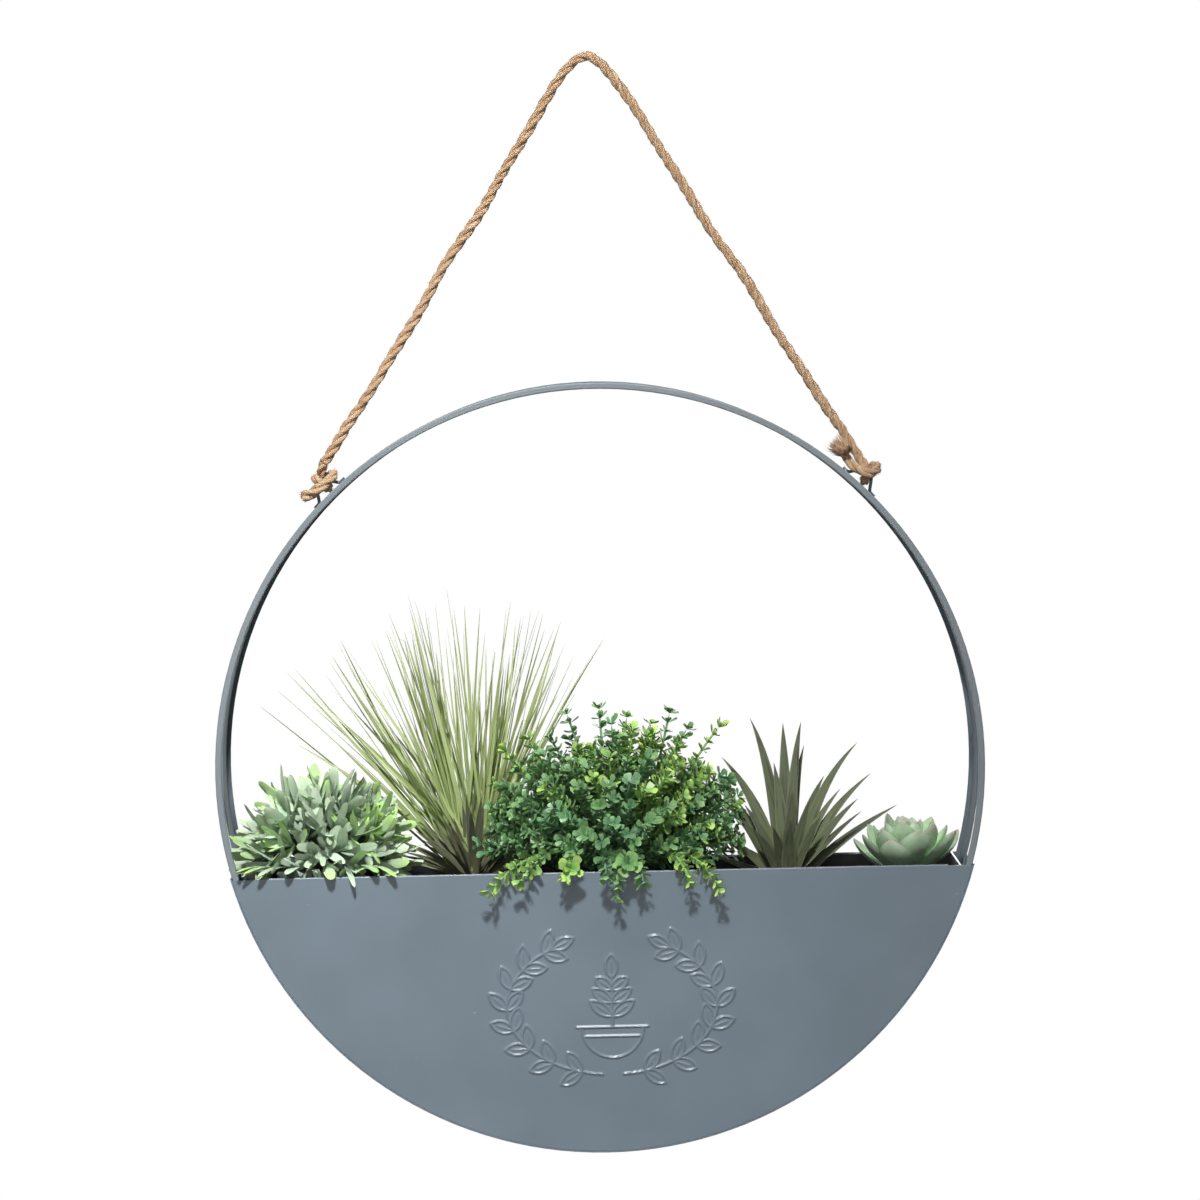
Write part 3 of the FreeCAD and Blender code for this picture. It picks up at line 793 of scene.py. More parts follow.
def over_dome(k, count, opening):
    """Direction of one of many stems, spread evenly over a dome; an opening of 1 is a half sphere."""
    return direction(k * GOLDEN_TURN, math.acos(1.0 - opening * (k + 0.5) / count))


def scattered(rng, reach):
    """Small shift to any side."""
    return Vector([rng.uniform(-reach, reach) for _ in range(3)])


print("stations of a leaf:", [round(share(k, 8), 2) for k in range(8)])

# %% Foliage
WALL_ROOM = 6.0                   # leaves start to lie flat this far before the wall behind the planter
PRESSED = 0.3                     # share of that room that even the deepest leaf leaves free
LEAF_MARKS = ("grow", "side", "tone", "young")


def off_the_wall(y):
    """Depth of a corner, pressed flat where it would grow into the wall."""
    over = y - (back_y - WALL_ROOM)
    if over <= 0.0:
        return y
    return back_y - WALL_ROOM * (PRESSED + (1.0 - PRESSED) * math.exp(-over / WALL_ROOM))


class Foliage:
    """Collects the leaves and stems of one plant, then makes one piece of them."""

    def __init__(self):
        self.points, self.faces, self.finish_of = [], [], []
        self.marks = {name: [] for name in LEAF_MARKS}

    def leaf(self, spine, above, widths, thick, cup=0.0, tone=0.5, young=0.0, corners=4, finish=0):
        """Closed leaf along a spine; widths are half widths, and the last station is the tip."""
        start, count, broadest = len(self.points), len(spine), max(widths)
        for k, middle in enumerate(spine[:-1]):
            ahead = (spine[k + 1] - spine[max(k - 1, 0)]).normalized()
            across = ahead.cross(above).normalized()
            up = across.cross(ahead)
            body = thick / 2 * math.sqrt(widths[k] / broadest)
            for j in range(corners):
                turn = 2 * math.pi * j / corners
                u, v = math.cos(turn), math.sin(turn)
                lift = v * body + cup * widths[k] * (u * u - 1.0)
                self.corner(middle + across * (u * widths[k]) + up * lift, share(k, count), u, tone, young)
        self.corner(spine[-1], 1.0, 0.0, tone, young)
        tip = len(self.points) - 1
        for k in range(count - 2):
            for j in range(corners):
                a, b = start + k * corners + j, start + k * corners + (j + 1) % corners
                self.face((a, b, b + corners, a + corners), finish)
        last = start + (count - 2) * corners
        for j in range(corners):
            self.face((last + j, last + (j + 1) % corners, tip), finish)
        self.face(tuple(range(start + corners - 1, start - 1, -1)), finish)

    def corner(self, point, *marks):
        """Add a corner with its marks."""
        self.points.append(point)
        for name, value in zip(LEAF_MARKS, marks):
            self.marks[name].append(value)

    def face(self, corners, finish):
        """Add a face that wears one of the plant's finishes."""
        self.faces.append(corners)
        self.finish_of.append(finish)

    def piece(self, name, finishes, slot, node):
        """Make the piece, which stands for a plant of the construction."""
        points = [(p.x, off_the_wall(p.y), p.z) for p in self.points]
        return make_piece(name, points, self.faces, finishes, "planter", slot, [node],
                          self.marks, self.finish_of, crease=50)


print("a leaf keeps", ", ".join(LEAF_MARKS))

# %% [markdown]
# Moulded polyethylene is dyed through and then brushed with paint by hand, so a leaf changes colour from its
# foot to its tip and is never one flat green; on the sage the darker foot is partly painted shade as well.
# All the leaf finishes share one build and differ in colours and strengths, so one function makes them.

# %% Leaf finish
DARKER, LIGHTER = 0.62, 1.58      # how far the mottling and a leaf's own tone dim and lift its colour
STREAK_BREAKS = 2.5               # patches along a streak
STREAKS_APART = 40.0              # distance in the pattern from the darkest leaf's streaks to the lightest's


def leaf_finish(name, old, young, rib, edge, blotch, roughness, mottle=None, streaks=None):
    """Moulded polyethylene leaf: two runs of colour from foot to tip, mixed by age, then mottled in light
    and dark, with a midrib, an edge and blotches, each of them a colour and a strength. The mottling is
    either a cloud of a size in millimetres or a number of streaks, from midrib to edge, along the leaf."""
    material, tree, shader = surface(name, {"Roughness": roughness, "IOR": 1.5})
    read = {mark: add(tree, "Attribute", out="Fac", attribute_name=mark) for mark in LEAF_MARKS}
    if mottle:
        place = add(tree, "TexCoord", out="Object")
        scale = per_mm(mottle)
    else:
        own = add(tree, "CombineXYZ", {"X": read["side"], "Y": read["grow"], "Z": read["tone"]})
        spacing = (streaks, STREAK_BREAKS, STREAKS_APART)
        place = add(tree, "VectorMath", {0: own, 1: spacing}, operation="MULTIPLY")
        scale = 1.0
    old_run = add(tree, "ValToRGB", {"Fac": read["grow"]}, stops=old)
    young_run = add(tree, "ValToRGB", {"Fac": read["grow"]}, stops=young)
    aged = add(tree, "MixRGB", {"Fac": read["young"], "Color1": old_run, "Color2": young_run})
    patch = add(tree, "TexNoise", {"Vector": place, "Scale": scale, "Detail": 3.0})
    spread = add(tree, "Math", {0: patch, 1: read["tone"]}, operation="ADD")
    level = add(tree, "MapRange", {"Value": spread, "From Min": 0.35, "From Max": 1.65,
                                   "To Min": DARKER, "To Max": LIGHTER})
    lit = add(tree, "VectorMath", {0: aged, "Scale": level}, operation="SCALE")
    worn = add(tree, "MapRange", {"Value": patch, "From Min": 0.52, "From Max": 0.62, "To Max": blotch[1]})
    blotched = add(tree, "MixRGB", {"Fac": worn, "Color1": lit, "Color2": colour(blotch[0])})
    aside = add(tree, "Math", {0: read["side"]}, operation="ABSOLUTE")
    ridge = add(tree, "MapRange", {"Value": aside, "From Min": 0.0, "From Max": 0.3,
                                   "To Min": rib[1], "To Max": 0.0})
    veined = add(tree, "MixRGB", {"Fac": ridge, "Color1": blotched, "Color2": colour(rib[0])})
    border = add(tree, "MapRange", {"Value": aside, "From Min": 0.68, "From Max": 0.95,
                                    "To Min": 0.0, "To Max": edge[1]})
    edged = add(tree, "MixRGB", {"Fac": border, "Color1": veined, "Color2": colour(edge[0])})
    grain = add(tree, "Bump", {"Height": patch, "Strength": 0.25, "Distance": 0.3 * MM})
    fill(tree, shader, {"Base Color": edged, "Normal": grain})
    print(name, len(tree.nodes), "nodes")
    return material


print("a leaf's colour is dimmed to", DARKER, "at most and lifted to", LIGHTER)

# %% [markdown]
# ## Sage
# A low cushion of grey-green sage: blunt, felted leaves in whorls at the ends of short stems, some of them
# with lime tips. Whorls are spread over a dome by the golden angle, which keeps them even but not in rows,
# and each leaf then gets its own length, opening and twist, because an even cushion looks clipped.

# %% Sage finish
# Polyethylene flocked with short fibre: dry and matt, greyish, with a soft rib and lime where it is young.
# The darker foot of each sage leaf is partly its own colour and partly painted shade inside the cushion.
sage_finish = leaf_finish("felted_polyethylene_sage",
                          old=[(0.0, "#64786A"), (0.45, "#A0B3A3"), (1.0, "#C8D7BE")],
                          young=[(0.0, "#7C976C"), (0.5, "#AFC99A"), (1.0, "#AEDA62")],
                          rib=("#B9C7B0", 0.35), edge=("#B4C6A6", 0.2), blotch=("#8FA39A", 0.3),
                          roughness=0.75, mottle=6.0)
# Its stems are bare polyethylene: darker, with neither rib nor edge.
bare = ("#5A6A4A", 0.0)
sage_stem = leaf_finish("polyethylene_sage_stem", old=[(0.0, "#3E4A34"), (1.0, "#5A6A4A")],
                        young=[(0.0, "#4F5E3C"), (1.0, "#6A7C4E")], rib=bare, edge=bare, blotch=bare,
                        roughness=0.7, mottle=6.0)

# %% Sage plant
WHORLS, WHORL_LEAVES = 66, 8
sage_half, sage_deep, sage_tall = 44.0, 27.0, 44.0   # half width, half depth and height of the cushion
sage_lift = 15.0                  # height of its foot above the pick
sage_length, sage_width = (18.0, 28.0), (2.6, 3.7)   # range of a leaf's length and of its half width
sage_spacing = 0.9                # distance from leaf to leaf down a stem
# Lowest leaves in front, which lie on the rim: place from the foot, way aside, drop of the tip below the
# rim, where less than 0 is above it, half width and age
rim_leaves = [(-36, -19, -5, 2.3, 0.8), (-30, -22, -2, 2.1, 0.2), (-24, -18, -1, 2.4, 0.5),
              (-31, -19, -4, 2.8, 0.9), (-26, -15, -2, 2.8, 0.3), (-14, -9, -3, 3.4, 0.1),
              (2, 4, 1, 3.9, 0.7), (14, 7, 6, 1.9, 0.1), (24, 12, -3, 3.2, 0.9), (31, 17, 0, 2.8, 1.0)]


def blunt(t):
    """Narrow foot, broad beyond the middle, rounded end."""
    if t < 0.62:
        return 0.3 + 0.7 * math.sin(math.pi / 2 * t / 0.62)
    return math.sqrt(1.0 - ((t - 0.62) / 0.4) ** 2)


def sage():
    """Whorls on short stems over a cushion, and the lowest leaves in front."""
    rng = random.Random(31)
    plant = Foliage()
    foot = foot_of("sage")
    for k in range(WHORLS):
        out = over_dome(k, WHORLS, opening=1.06)
        end = foot + Vector((out.x * sage_half, out.y * sage_deep, sage_lift + out.z * sage_tall))
        end += scattered(rng, 4.0)
        stem = arched(foot + out * 3.0, foot + Vector((out.x * 16, out.y * 10, 26.0)), end, 5)
        plant.leaf(stem, Vector((0.3, 1, 0.2)), [1.0] * len(stem), thick=2.0, corners=5, finish=1)
        lean = (end - stem[-2]).normalized()
        fresh = 0.5 if out.z > 0.8 or out.x > 0.45 else 0.14   # more lime on top and to the right
        young = rng.uniform(0.7, 1.0) if rng.random() < fresh else rng.uniform(0.0, 0.25)
        side = lean.orthogonal().normalized()
        for n in range(WHORL_LEAVES):
            beside = Matrix.Rotation(n * GOLDEN_TURN + k, 3, lean) @ side
            opening = 0.30 + 0.13 * n + rng.uniform(-0.15, 0.15)
            heading = (lean * math.cos(opening) + beside * math.sin(opening)).normalized()
            length = rng.uniform(*sage_length)
            pull = UP * rng.uniform(-2.0, 3.5) + beside * rng.uniform(-2.0, 4.0)
            above = lean - heading * 0.4 + beside.cross(lean) * rng.uniform(-0.6, 0.6)
            spine = over_the_rim(bowed(end - lean * (sage_spacing * n + 2.0), heading, length, pull, 8))
            widths = widths_of(blunt, rng.uniform(*sage_width), spine)
            plant.leaf(spine, above, widths, thick=1.2, cup=0.2, tone=rng.uniform(0.1, 1.0), young=young)
    for x, aside, drop, wide, young in rim_leaves:
        start = Vector((foot.x + x, front_y + 13.0, rim_z + 6.0))
        end = Vector((foot.x + x + aside, front_y - 8.0, rim_z - drop))
        spine = arched(start, above_middle(start, end, 4.0), end, 8)
        plant.leaf(spine, UP, widths_of(blunt, wide, spine), thick=1.2, cup=0.15,
                   tone=rng.uniform(0.3, 0.9), young=young)
    return plant.piece("sage_leaves", [sage_finish, sage_stem], "sage_leaf", "sage_plant")


sage()

# %% [markdown]
# ## Grass
# A tuft of onion grass: long, stiff blades that fan out from one point, with broad, brownish sheaths round
# the foot. A particle system would need caches and a seed that moves with the version, so a loop does it:
# each blade is a folded strip that tapers to a hair, leans by its place in the fan and bows a little.

# %% Grass finish
# Extruded polyethylene: a waxy half gloss, with streaks drawn out along the blade.
grass_finish = leaf_finish("extruded_polyethylene_grass",
                           old=[(0.0, "#6A7A44"), (0.35, "#83985A"), (1.0, "#98A66D")],
                           young=[(0.0, "#93A664"), (0.4, "#B2C285"), (1.0, "#BFC992")],
                           rib=("#B6C088", 0.2), edge=("#8B9A5C", 0.3), blotch=("#7F8F52", 0.4),
                           roughness=0.5, streaks=1.0)
# The sheaths are moulded and washed with brown: dull, darker to the tip, with a pale edge.
sheath_finish = leaf_finish("polyethylene_grass_sheath",
                            old=[(0.0, "#6F705A"), (0.5, "#5A5F48"), (1.0, "#444B35")],
                            young=[(0.0, "#86836C"), (0.5, "#74765D"), (1.0, "#5A6045")],
                            rib=("#8A8C74", 0.25), edge=("#969B80", 0.45), blotch=("#5F5040", 0.3),
                            roughness=0.55, streaks=1.5)

# %% Grass plant
BLADES, SHEATHS = 150, 52
blade_longest = 182.0
sheath_length, sheath_width = (46, 66), (2.4, 4.2)   # range of a sheath's length and of its half width
blade_half_widths = (0.6, 0.7, 0.9, 1.1, 1.5, 2.0)
kinked = 0.08                     # share of the blades whose tip is bent
fan_middle, fan_half = -8.0, 33.0           # the tuft leans a little to the left, in degrees
fan_left, fan_right = math.radians(-46.0), math.radians(27.0)   # no blade leans further


def hair(t):
    """Blade that tapers all the way to a hair."""
    return (1.0 - t) ** 0.75 * (0.85 + 0.55 * t)


def sheath(t):
    """Broad strip that swells towards its end and closes in a short point."""
    return (1.0 - t ** 1.8) * (0.75 + 0.7 * t)


def grass():
    """Blades in a fan, and the sheaths round their foot."""
    rng = random.Random(41)
    plant = Foliage()
    foot = foot_of("grass")
    for k in range(BLADES):
        fan = (k + 0.5) / BLADES * 2 - 1.0
        lean = math.radians(fan_middle + fan_half * math.copysign(abs(fan) ** 1.1, fan)
                            + rng.uniform(-6.0, 6.0))
        lean = min(max(lean, fan_left), fan_right)
        length = blade_longest * (1.0 - 0.48 * rng.random() ** 1.6) * (1.0 - 0.05 * abs(fan))
        root = foot + Vector((fan * 5.0 + rng.uniform(-9, 9), rng.uniform(-6, 8), rng.uniform(2, 20)))
        heading = Vector((math.sin(lean), rng.uniform(-0.10, 0.06), math.cos(lean)))
        pull = Vector((math.sin(lean) * rng.uniform(-6, 18) + rng.uniform(-8, 8), rng.uniform(-6, 3),
                       -abs(math.sin(lean)) * rng.uniform(0, 14)))
        spine = bowed(root, heading, length, pull, 9)
        if rng.random() < kinked:
            spine[-1] += Vector((rng.uniform(-9, 9), 0, -5.0))
        above = Vector((rng.uniform(-1.2, 1.2), -1.0, 0.3))
        widths = widths_of(hair, rng.choice(blade_half_widths), spine)
        plant.leaf(spine, above, widths, thick=0.6, cup=0.4, tone=rng.uniform(0.0, 0.9), young=rng.random())
    for k in range(SHEATHS):
        low = k / SHEATHS
        out = direction(k * GOLDEN_TURN, 0.06 + 1.08 * low)
        out.y = -0.75 * abs(out.y) if k % 3 else 0.5 * out.y
        root = foot + Vector((out.x * 7, out.y * 8, 2.0))
        droop = Vector((out.x * 9.0, 0, -10.0 * low))
        spine = bowed(root, out.normalized(), rng.uniform(*sheath_length) * (1.0 - 0.12 * low), droop, 9)
        above = Vector((rng.uniform(-0.3, 0.3), -1.0, 0.2 + 1.2 * low))
        widths = widths_of(sheath, rng.uniform(*sheath_width), spine)
        plant.leaf(spine, above, widths, thick=0.9, cup=0.4, tone=rng.uniform(0.1, 0.9),
                   young=rng.random() * (1 - 0.6 * low), finish=1)
    return plant.piece("grass_blades", [grass_finish, sheath_finish], "grass_blade", "grass_plant")


grass()

# %% [markdown]
# ## Boxwood
# A round bush of boxwood sprigs. Each sprig is a thin stem with tiers of small spoon-shaped leaves and a
# rosette at its end, dark and bluish inside, fresh yellow-green at some tips. Most stand out from a dome, a
# few of them beyond it, and some trail over the front rim.

# %% Boxwood finish
# Moulded polyethylene, glossier than the rest: small leaves with a pale edge that catches the light.
box_finish = leaf_finish("moulded_polyethylene_boxwood",
                         old=[(0.0, "#385C44"), (0.5, "#487A50"), (1.0, "#6C9C68")],
                         young=[(0.0, "#5C8F48"), (0.5, "#8ABA50"), (1.0, "#C2DA66")],
                         rib=("#9DBB9A", 0.3), edge=("#A5C795", 0.45), blotch=("#73A07E", 0.35),
                         roughness=0.42, mottle=3.0)
# Its stems are the same plastic, duller and paler, with neither rib nor edge.
box_stem = leaf_finish("polyethylene_boxwood_stem", old=[(0.0, "#4C6B4A"), (1.0, "#6E9470")],
                       young=[(0.0, "#6F9150"), (1.0, "#93B566")], rib=("#7FA37A", 0.0),
                       edge=("#7FA37A", 0.0), blotch=("#7FA37A", 0.2), roughness=0.55, mottle=5.0)


# %% Sprigs
def spoon(t):
    """Short stalk, then a fan-shaped blade that is broadest near its blunt end."""
    if t < 0.76:
        return 0.14 + 0.86 * math.sin(math.pi / 2 * t / 0.76) ** 1.7
    return math.sqrt(1.0 - ((t - 0.76) / 0.28) ** 2)


def sprig(plant, spine, young, rng, first=0.3, size=7.0, gap=4.6, lifted=True):
    """Stem with tiers of leaves, a gap apart, from a share of its length on, and a rosette at its end.
    Size is the usual length of a leaf, and leaves that are lifted stay above the rim."""
    stations = len(spine)
    plant.leaf(spine, Vector((0.2, 1, 0.1)), [1.0 - 0.3 * k / stations for k in range(stations)],
               thick=1.7, young=young, corners=5, finish=1)
    walked = [0.0]
    for a, b in zip(spine, spine[1:]):
        walked.append(walked[-1] + (b - a).length)
    tiers = max(3, int(walked[-1] * (1.0 - first) / gap))
    for n in range(tiers + 1):
        t = first + (1.0 - first) * n / tiers
        spot = max(k for k in range(stations - 1) if walked[k] <= t * walked[-1] + 1e-6)
        part = (t * walked[-1] - walked[spot]) / (walked[spot + 1] - walked[spot])
        at = spine[spot].lerp(spine[spot + 1], part)
        ahead = (spine[spot + 1] - spine[spot]).normalized()
        side = ahead.orthogonal().normalized()
        count = 5 if n == tiers else 4
        for m in range(count):
            turn = n * 1.1 + m * 2 * math.pi / count + rng.uniform(-0.25, 0.25)
            beside = Matrix.Rotation(turn, 3, ahead) @ side
            opening = rng.uniform(0.6, 1.25) if n == tiers else rng.uniform(0.8, 1.35)
            heading = (ahead * math.cos(opening) + beside * math.sin(opening)).normalized()
            reach = size * rng.uniform(0.7, 1.15)
            leaf = bowed(at, heading, reach, ahead * rng.uniform(-0.8, 2.0), 7)
            if lifted:
                over_the_rim(leaf)
            fresh = min(1.0, max(0.0, young * (0.25 + 0.85 * t) + rng.uniform(-0.12, 0.12)))
            above = ahead + scattered(rng, 0.35)
            widths = widths_of(spoon, reach * rng.uniform(0.26, 0.35), leaf)
            plant.leaf(leaf, above, widths, thick=0.7, cup=0.2, tone=rng.uniform(0.0, 1.0), young=fresh)


def whorl(plant, at, facing, leaves, reach, young, rng):
    """Open rosette of two rounds of leaves that faces one way."""
    side = facing.orthogonal().normalized()
    for m in range(leaves):
        beside = Matrix.Rotation(m * GOLDEN_TURN, 3, facing) @ side
        inner = m % 2
        opening = 1.45 - 0.6 * inner
        heading = facing * math.cos(opening) + beside * math.sin(opening)
        length = reach * rng.uniform(0.9, 1.05) * (1.0 - 0.25 * inner)
        leaf = bowed(at, heading, length, facing * 1.5, 7)
        plant.leaf(leaf, facing, widths_of(spoon, 0.3 * length, leaf), thick=0.7, cup=0.2,
                   tone=rng.uniform(0.2, 1.0), young=young)


print("a spoon leaf is widest at", max(range(100), key=lambda k: spoon(k / 100)), "% of its length")

# %% Boxwood plant
SPRIGS = 185
box_half, box_deep, box_tall = 82.0, 44.0, 66.0   # half width, half depth and height of the dome
box_lift = 32.0                   # height of its foot above the pick
box_wall, box_overhang = 10.0, 8.0          # room to the wall behind, and reach over the front panel
# Leaders that stand out of the dome: place along the rim and height above it
leaders = [(-61, 79), (-46, 87), (-21, 103), (0, 105), (8, 96), (18, 100), (33, 95), (46, 102), (57, 92),
           (78, 92)]
# Sprigs that trail over the front rim: where they cross it, where they end, how far below it, and age
trailers = [(-34, -72, 10, 0.9), (-30, -52, 3, 0.7), (-18, -24, 2, 0.95), (2, 2, 1, 0.1),
            (12, 9, 14, 0.3), (20, 26, 6, 0.2), (44, 56, 6, 0.9), (50, 75, 11, 1.0)]
# Two round rosettes that hang over the rim: place along it, height, leaves and age
rosettes = [(17, 5, 16, 0.25), (-20, 3, 12, 0.75)]
rosette_reach = 9.4               # length of their leaves


def boxwood():
    """Sprigs over a dome, leaders out of it, and what hangs over the front rim."""
    rng = random.Random(51)
    plant = Foliage()
    foot = foot_of("boxwood")
    for k in range(SPRIGS):
        out = over_dome(k, SPRIGS, opening=1.2)
        beyond = rng.uniform(-10.0, 5.0)
        end = foot + Vector((out.x * (box_half + beyond), out.y * box_deep,
                             box_lift + out.z * (box_tall + beyond)))
        end += scattered(rng, 4.0)
        end.y = max(min(end.y, back_y - box_wall), front_y - box_overhang)
        end.z = max(end.z, rim_z + (7.0 if end.y < front_y + 14.0 else 2.0))
        start = foot + Vector((out.x * 18.0, out.y * 10.0, 6.0 + 18.0 * max(out.z, 0.0)))
        fresh = 0.05 + 0.42 * max(0.0, 0.5 * out.x + 0.5 * out.z + 0.2)   # most on top and to the right
        young = rng.uniform(0.7, 1.0) if rng.random() < fresh else rng.uniform(0.0, 0.3)
        sprig(plant, arched(start, above_middle(start, end, 10.0), end, 7), young, rng)
    for x, rise in leaders:
        end = Vector((x, foot.y + rng.uniform(-12.0, 12.0), rim_z + rise - 3.0))
        start = foot + Vector(((x - foot.x) * 0.4, 0, 30.0))
        over = start.lerp(end, 0.5) + Vector((rng.uniform(-5, 5), 0, 6.0))
        young = rng.choice((0.2, 0.4, 0.8))
        sprig(plant, arched(start, over, end, 7), young, rng, first=0.55, size=6.4, gap=6.0)
    for x0, x1, drop, young in trailers:
        start = Vector((x0 * 0.8, front_y + 24.0, rim_z + 12.0))
        over = Vector(((x0 + x1) / 2, front_y - 7.0, rim_z + 14.0))
        end = Vector((x1, front_y - 13.0, rim_z - drop))
        sprig(plant, arched(start, over, end, 8), young, rng, first=0.4, lifted=False)
    for x, rise, leaves, young in rosettes:
        end = Vector((x, front_y - 11.0, rim_z + rise))
        start = Vector((x * 0.9, front_y + 22.0, rim_z + 14.0))
        stem = arched(start, end + Vector((0, 8, 9)), end, 6)
        plant.leaf(stem, Vector((0.2, 1, 0.1)), [0.8] * len(stem), thick=1.5, young=young, corners=5,
                   finish=1)
        whorl(plant, end, Vector((0.05, -1.0, 0.25)).normalized(), leaves, rosette_reach, young, rng)
    return plant.piece("boxwood_sprigs", [box_finish, box_stem], "boxwood_leaf", "boxwood_plant")


boxwood()

# %% [markdown]
# ## Aloe
# A dark aloe: stiff channelled leaves that start broad and end in a thin reddish point. An even formula makes
# a burst that looks like a firework, so here each leaf has its own tip. Low leaves set out almost
# straight, tall ones rise first and then bend outwards.

# %% Aloe finish
# Moulded polyethylene with a thin brown wash: olive, half glossy, streaked, with a paler edge.
aloe_finish = leaf_finish("moulded_polyethylene_aloe",
                          old=[(0.0, "#7F846A"), (0.3, "#646D53"), (0.8, "#586149"), (1.0, "#6A4E42")],
                          young=[(0.0, "#888F6A"), (0.4, "#717B59"), (0.85, "#616A4F"), (1.0, "#5E483C")],
                          rib=("#8A8F78", 0.2), edge=("#979C84", 0.35), blotch=("#3F4533", 0.6),
                          roughness=0.45, streaks=1.5)

# %% Aloe plant
# Tip of each leaf: how far sideways and up, its half width and how far forward it leans
aloe_tips = [(-23, 100, 4.4, 4), (-20, 91, 4.8, 8), (-1, 96, 4.8, -2), (11, 97, 4.2, 2), (-8, 71, 4.6, 12),
             (8, 80, 4.6, 6), (13, 81, 3.6, -6), (48, 82, 4.4, 0), (56, 62, 4.4, 8), (47, 46, 4.6, 14),
             (49, 38, 3.2, 18), (73, 41, 4.2, 10), (-42, 74, 5.0, -4), (-54, 65, 4.4, -8), (-35, 19, 7.0, 24),
             (-34, 38, 6.6, 16), (-22, 28, 6.4, 26), (-55, 13, 3.4, 12), (-48, 25, 4.4, 4), (18, 26, 4.6, 24),
             (-10, 30, 5.2, 26), (30, 20, 4.0, 20), (-30, 55, 5.0, 8), (26, 60, 4.6, -8), (4, 52, 5.2, 16),
             (-14, 60, 4.2, 10), (16, 47, 4.4, 18), (2, 34, 5.0, 26), (36, 52, 3.8, 4), (-28, 44, 5.0, 18),
             (-44, 48, 4.4, 2), (22, 36, 4.2, 22), (-17, 82, 4.0, -4)]
aloe_tall = 100.0                 # a leaf of this height rises most steeply
aloe_sunk = 5.0                   # the rim hides this much of the foot, so heights count from above it
aloe_swell = 1.08                 # the widths above are as they look; a channelled leaf is a little wider


def dagger(t):
    """Broad foot that tapers in a slight curve to a thin point."""
    return (1.0 - t) ** 1.05 * (1.0 + 1.1 * t)


def aloe():
    """One leaf for each tip in the list."""
    rng = random.Random(61)
    plant = Foliage()
    foot = foot_of("aloe")
    for aside, rise, half_width, forward in aloe_tips:
        low = 1.0 - min(rise / aloe_tall, 1.0)
        root = foot + Vector((aside * 0.14, -forward * 0.3, rng.uniform(-2.0, 3.0)))
        tip = foot + Vector((aside, -forward, aloe_sunk + rise))
        sideways, upwards = 0.22 + 0.36 * low, 0.69 - 0.15 * low
        over = Vector((root.x + (tip.x - root.x) * sideways, root.y + (tip.y - root.y) * 0.6,
                       root.z + (tip.z - root.z) * upwards))
        spine = arched(root, over, tip, 12)
        above = Vector((-0.5 * aside / 50.0, -1.0, 0.5 + 0.8 * low))
        plant.leaf(spine, above, widths_of(dagger, aloe_swell * half_width, spine), thick=2.4, cup=0.4,
                   tone=rng.uniform(0.1, 0.9), young=rng.random() * 0.9, corners=8)
    return plant.piece("aloe_leaves", [aloe_finish], "aloe_leaf", "aloe_plant")


aloe()

# %% [markdown]
# ## Echeveria
# A rosette of thick, spoon-shaped leaves with a fine point, pale green with a dusty bloom and pinkish wear.
# Real rosettes set each new leaf 137.5 degrees round from the last, and so does this loop.

# %% Echeveria finish
# Moulded polyethylene dusted with pale powder: matt and milky, with brownish rubs and reddish points.
rosette_finish = leaf_finish("dusted_polyethylene_echeveria",
                             old=[(0.0, "#B4D6B0"), (0.5, "#BCD8B9"), (0.9, "#C2D5BB"), (1.0, "#B8A99E")],
                             young=[(0.0, "#B0DEA9"), (0.5, "#B0E0A9"), (0.93, "#BBDDB3"), (1.0, "#BFACA1")],
                             rib=("#B0C4AB", 0.15), edge=("#B3BFA8", 0.4), blotch=("#A89E92", 0.55),
                             roughness=0.6, mottle=11.0)

# %% Echeveria plant
ROSETTE_LEAVES = 28
shortest, longest = 25.0, 38.0    # leaf in the heart of the rosette, and one at its foot
plump = (0.29, 0.36)              # half width of a leaf as a share of its length


def spatula(t):
    """Fleshy leaf, broadest at two thirds, that closes in a round arch with a small point."""
    if t < 0.62:
        return 0.45 + 0.55 * math.sin(math.pi / 2 * t / 0.62)
    return (1.0 - ((t - 0.62) / 0.385) ** 1.7) ** 0.85


def echeveria():
    """Leaves round a golden spiral, from the heart of the rosette outwards."""
    rng = random.Random(71)
    plant = Foliage()
    foot = foot_of("echeveria")
    for k in range(ROSETTE_LEAVES):
        low = k / (ROSETTE_LEAVES - 1)
        turn = k * GOLDEN_TURN + 0.9
        tilt = 0.10 + 0.94 * low ** 0.85
        flat = Vector((math.cos(turn), math.sin(turn), 0))
        length = (shortest + (longest - shortest) * low ** 0.7) * rng.uniform(0.88, 1.08)
        root = foot + flat * (1.5 + 6.0 * low) + UP * (13.0 - 9.0 * low)
        pull = UP * (1.0 + 4.0 * low) - flat * 1.0
        above = UP * math.sin(tilt) - flat * math.cos(tilt)
        spine = bowed(root, direction(turn, tilt), length, pull, 11)
        widths = widths_of(spatula, length * rng.uniform(*plump), spine)
        plant.leaf(spine, above, widths, thick=2.8, cup=0.25, tone=rng.uniform(0.2, 0.9),
                   young=rng.random(), corners=10)
    return plant.piece("echeveria_rosette", [rosette_finish], "echeveria_leaf", "echeveria_plant")


echeveria()

# %% [markdown]
# ## Picks
# Each plant stands on a moulded pick that is pushed into the foam. The construction's own pegs are good
# enough for that, since the leaves hide them, so they only get a finish.

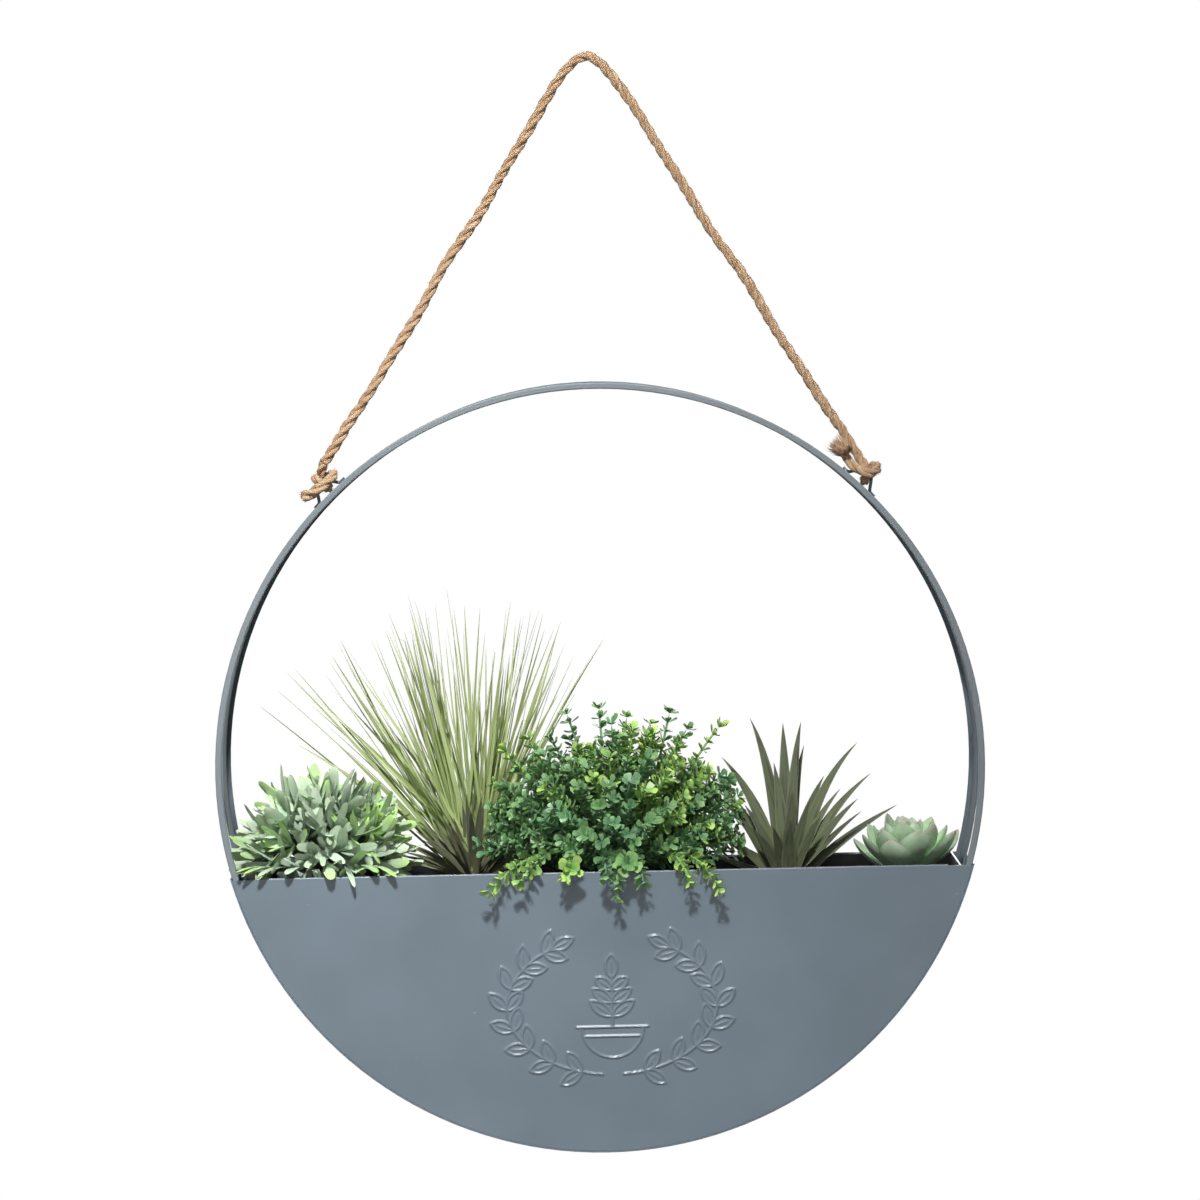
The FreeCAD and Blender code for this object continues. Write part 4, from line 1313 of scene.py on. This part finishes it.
# %% Picks
# Plain injection-moulded polyethylene stems, dark green and waxy, that stand in the foam.
pick_plastic, tree, shader = surface("waxy_polyethylene_pick", {"Roughness": 0.5})
place = add(tree, "TexCoord", out="Object")
drawn = add(tree, "TexNoise", {"Vector": place, "Scale": per_mm(4), "Detail": 2.0})
green = add(tree, "ValToRGB", {"Fac": drawn}, stops=[(0.3, "#33442A"), (0.7, "#475C3A")])
fill(tree, shader, {"Base Color": green})
paint(pick_plastic, *[plant + "_pick" for plant in ("sage", "grass", "boxwood", "aloe", "echeveria")])

# %% [markdown]
# ## Light and ground
# The picture has a clean white ground and one small soft box high in front, which throws short shadows of
# the sprigs straight down the panel. Its grid narrows the beam, which is aimed left of the middle, so the
# panel grows darker towards the right. A wide weak lamp in front opens the shadows, a small one from above
# picks out the rope and the top of the ring, and a wide one behind lights the sides that the picture does
# not show. The world is white for the camera and for reflections, and dimmer as a light, so the white
# ground costs the object no contrast.

# %% World
scene = bpy.context.scene
scene.view_settings.view_transform = "Standard"


def looked_at(tree):
    """1 for what the camera sees, directly, mirrored or through glass, 0 for what only lights the object."""
    rays = add(tree, "LightPath").node.outputs
    seen = add(tree, "Math", {0: rays["Is Camera Ray"], 1: rays["Is Glossy Ray"]}, operation="MAXIMUM")
    return add(tree, "Math", {0: seen, 1: rays["Is Transmission Ray"]}, operation="MAXIMUM")


world = bpy.data.worlds.new("white_ground")
scene.world = world
world.use_nodes = True
tree = world.node_tree
ambient = 0.10                    # strength of the world as a light
strength = add(tree, "MapRange", {"Value": looked_at(tree), "To Min": ambient, "To Max": 1.0})
fill(tree, tree.nodes["Background"], {"Strength": strength, "Color": (1.0, 1.0, 1.0, 1.0)})
print("world:", len(tree.nodes), "nodes")

# %% Floor
# Matt white floor paint, which keeps the shadow; where it is looked at, most of it shows as white ground.
floor_half, floor_z = 2.6, -1.25  # metres
ROLLED = 0.65                     # metres from one roller mark in the paint to the next
shown_white = 0.8                 # share of the floor that shows as white ground
pale, tree, shader = surface("matt_white_floor_paint", {"Roughness": 0.9})
grain = add(tree, "TexNoise", {"Scale": 2 * floor_half / ROLLED})
white = add(tree, "ValToRGB", {"Fac": grain}, stops=[(0.0, "#F4F4F3"), (1.0, "#F8F8F8")])
fill(tree, shader, {"Base Color": white})
glow = add(tree, "Emission", {"Strength": 1.0})
shown = add(tree, "Math", {0: looked_at(tree), 1: shown_white}, operation="MULTIPLY")
mixed = add(tree, "MixShader", {0: shown, 1: shader.outputs["BSDF"], 2: glow})
fill(tree, tree.nodes["Material Output"], {"Surface": mixed})
floor_mesh = bpy.data.meshes.new("floor")
floor_mesh.from_pydata([(x * floor_half, y * floor_half, floor_z)
                        for x, y in ((-1, -1), (1, -1), (1, 1), (-1, 1))], [], [(0, 1, 2, 3)])
floor_mesh.materials.append(pale)
floor = bpy.data.objects.new("floor", floor_mesh)
scene.collection.objects.link(floor)
print("floor", 2 * floor_half, "m wide at", floor_z, "m")


# %% Lamps
def lamp(name, at, target, size, power, spread):
    """Square soft box that looks at a target; spread is the angle of its beam in degrees."""
    data = bpy.data.lights.new(name, "AREA")
    data.size = size
    data.energy = power
    data.spread = math.radians(spread)
    light = bpy.data.objects.new(name, data)
    light.location = at
    way = Vector(target) - Vector(at)
    light.rotation_euler = way.to_track_quat("-Z", "Y").to_euler()
    scene.collection.objects.link(light)
    print(name, "lamp", power, "W from", round(way.length, 2), "m")


lamp("key", (-0.2, -1.9, 1.55), (-0.24, -0.05, -0.62), size=0.24, power=4.1, spread=38.0)
lamp("fill", (-0.6, -3.2, 0.2), (-0.05, 0.0, -0.5), size=1.2, power=10.0, spread=180.0)
lamp("crown", (-0.25, -1.6, 1.3), (-0.05, 0.0, 0.05), size=0.3, power=0.3, spread=24.0)
lamp("back", (0.7, 2.8, 0.5), (0.0, 0.0, -0.45), size=1.2, power=22.0, spread=180.0)
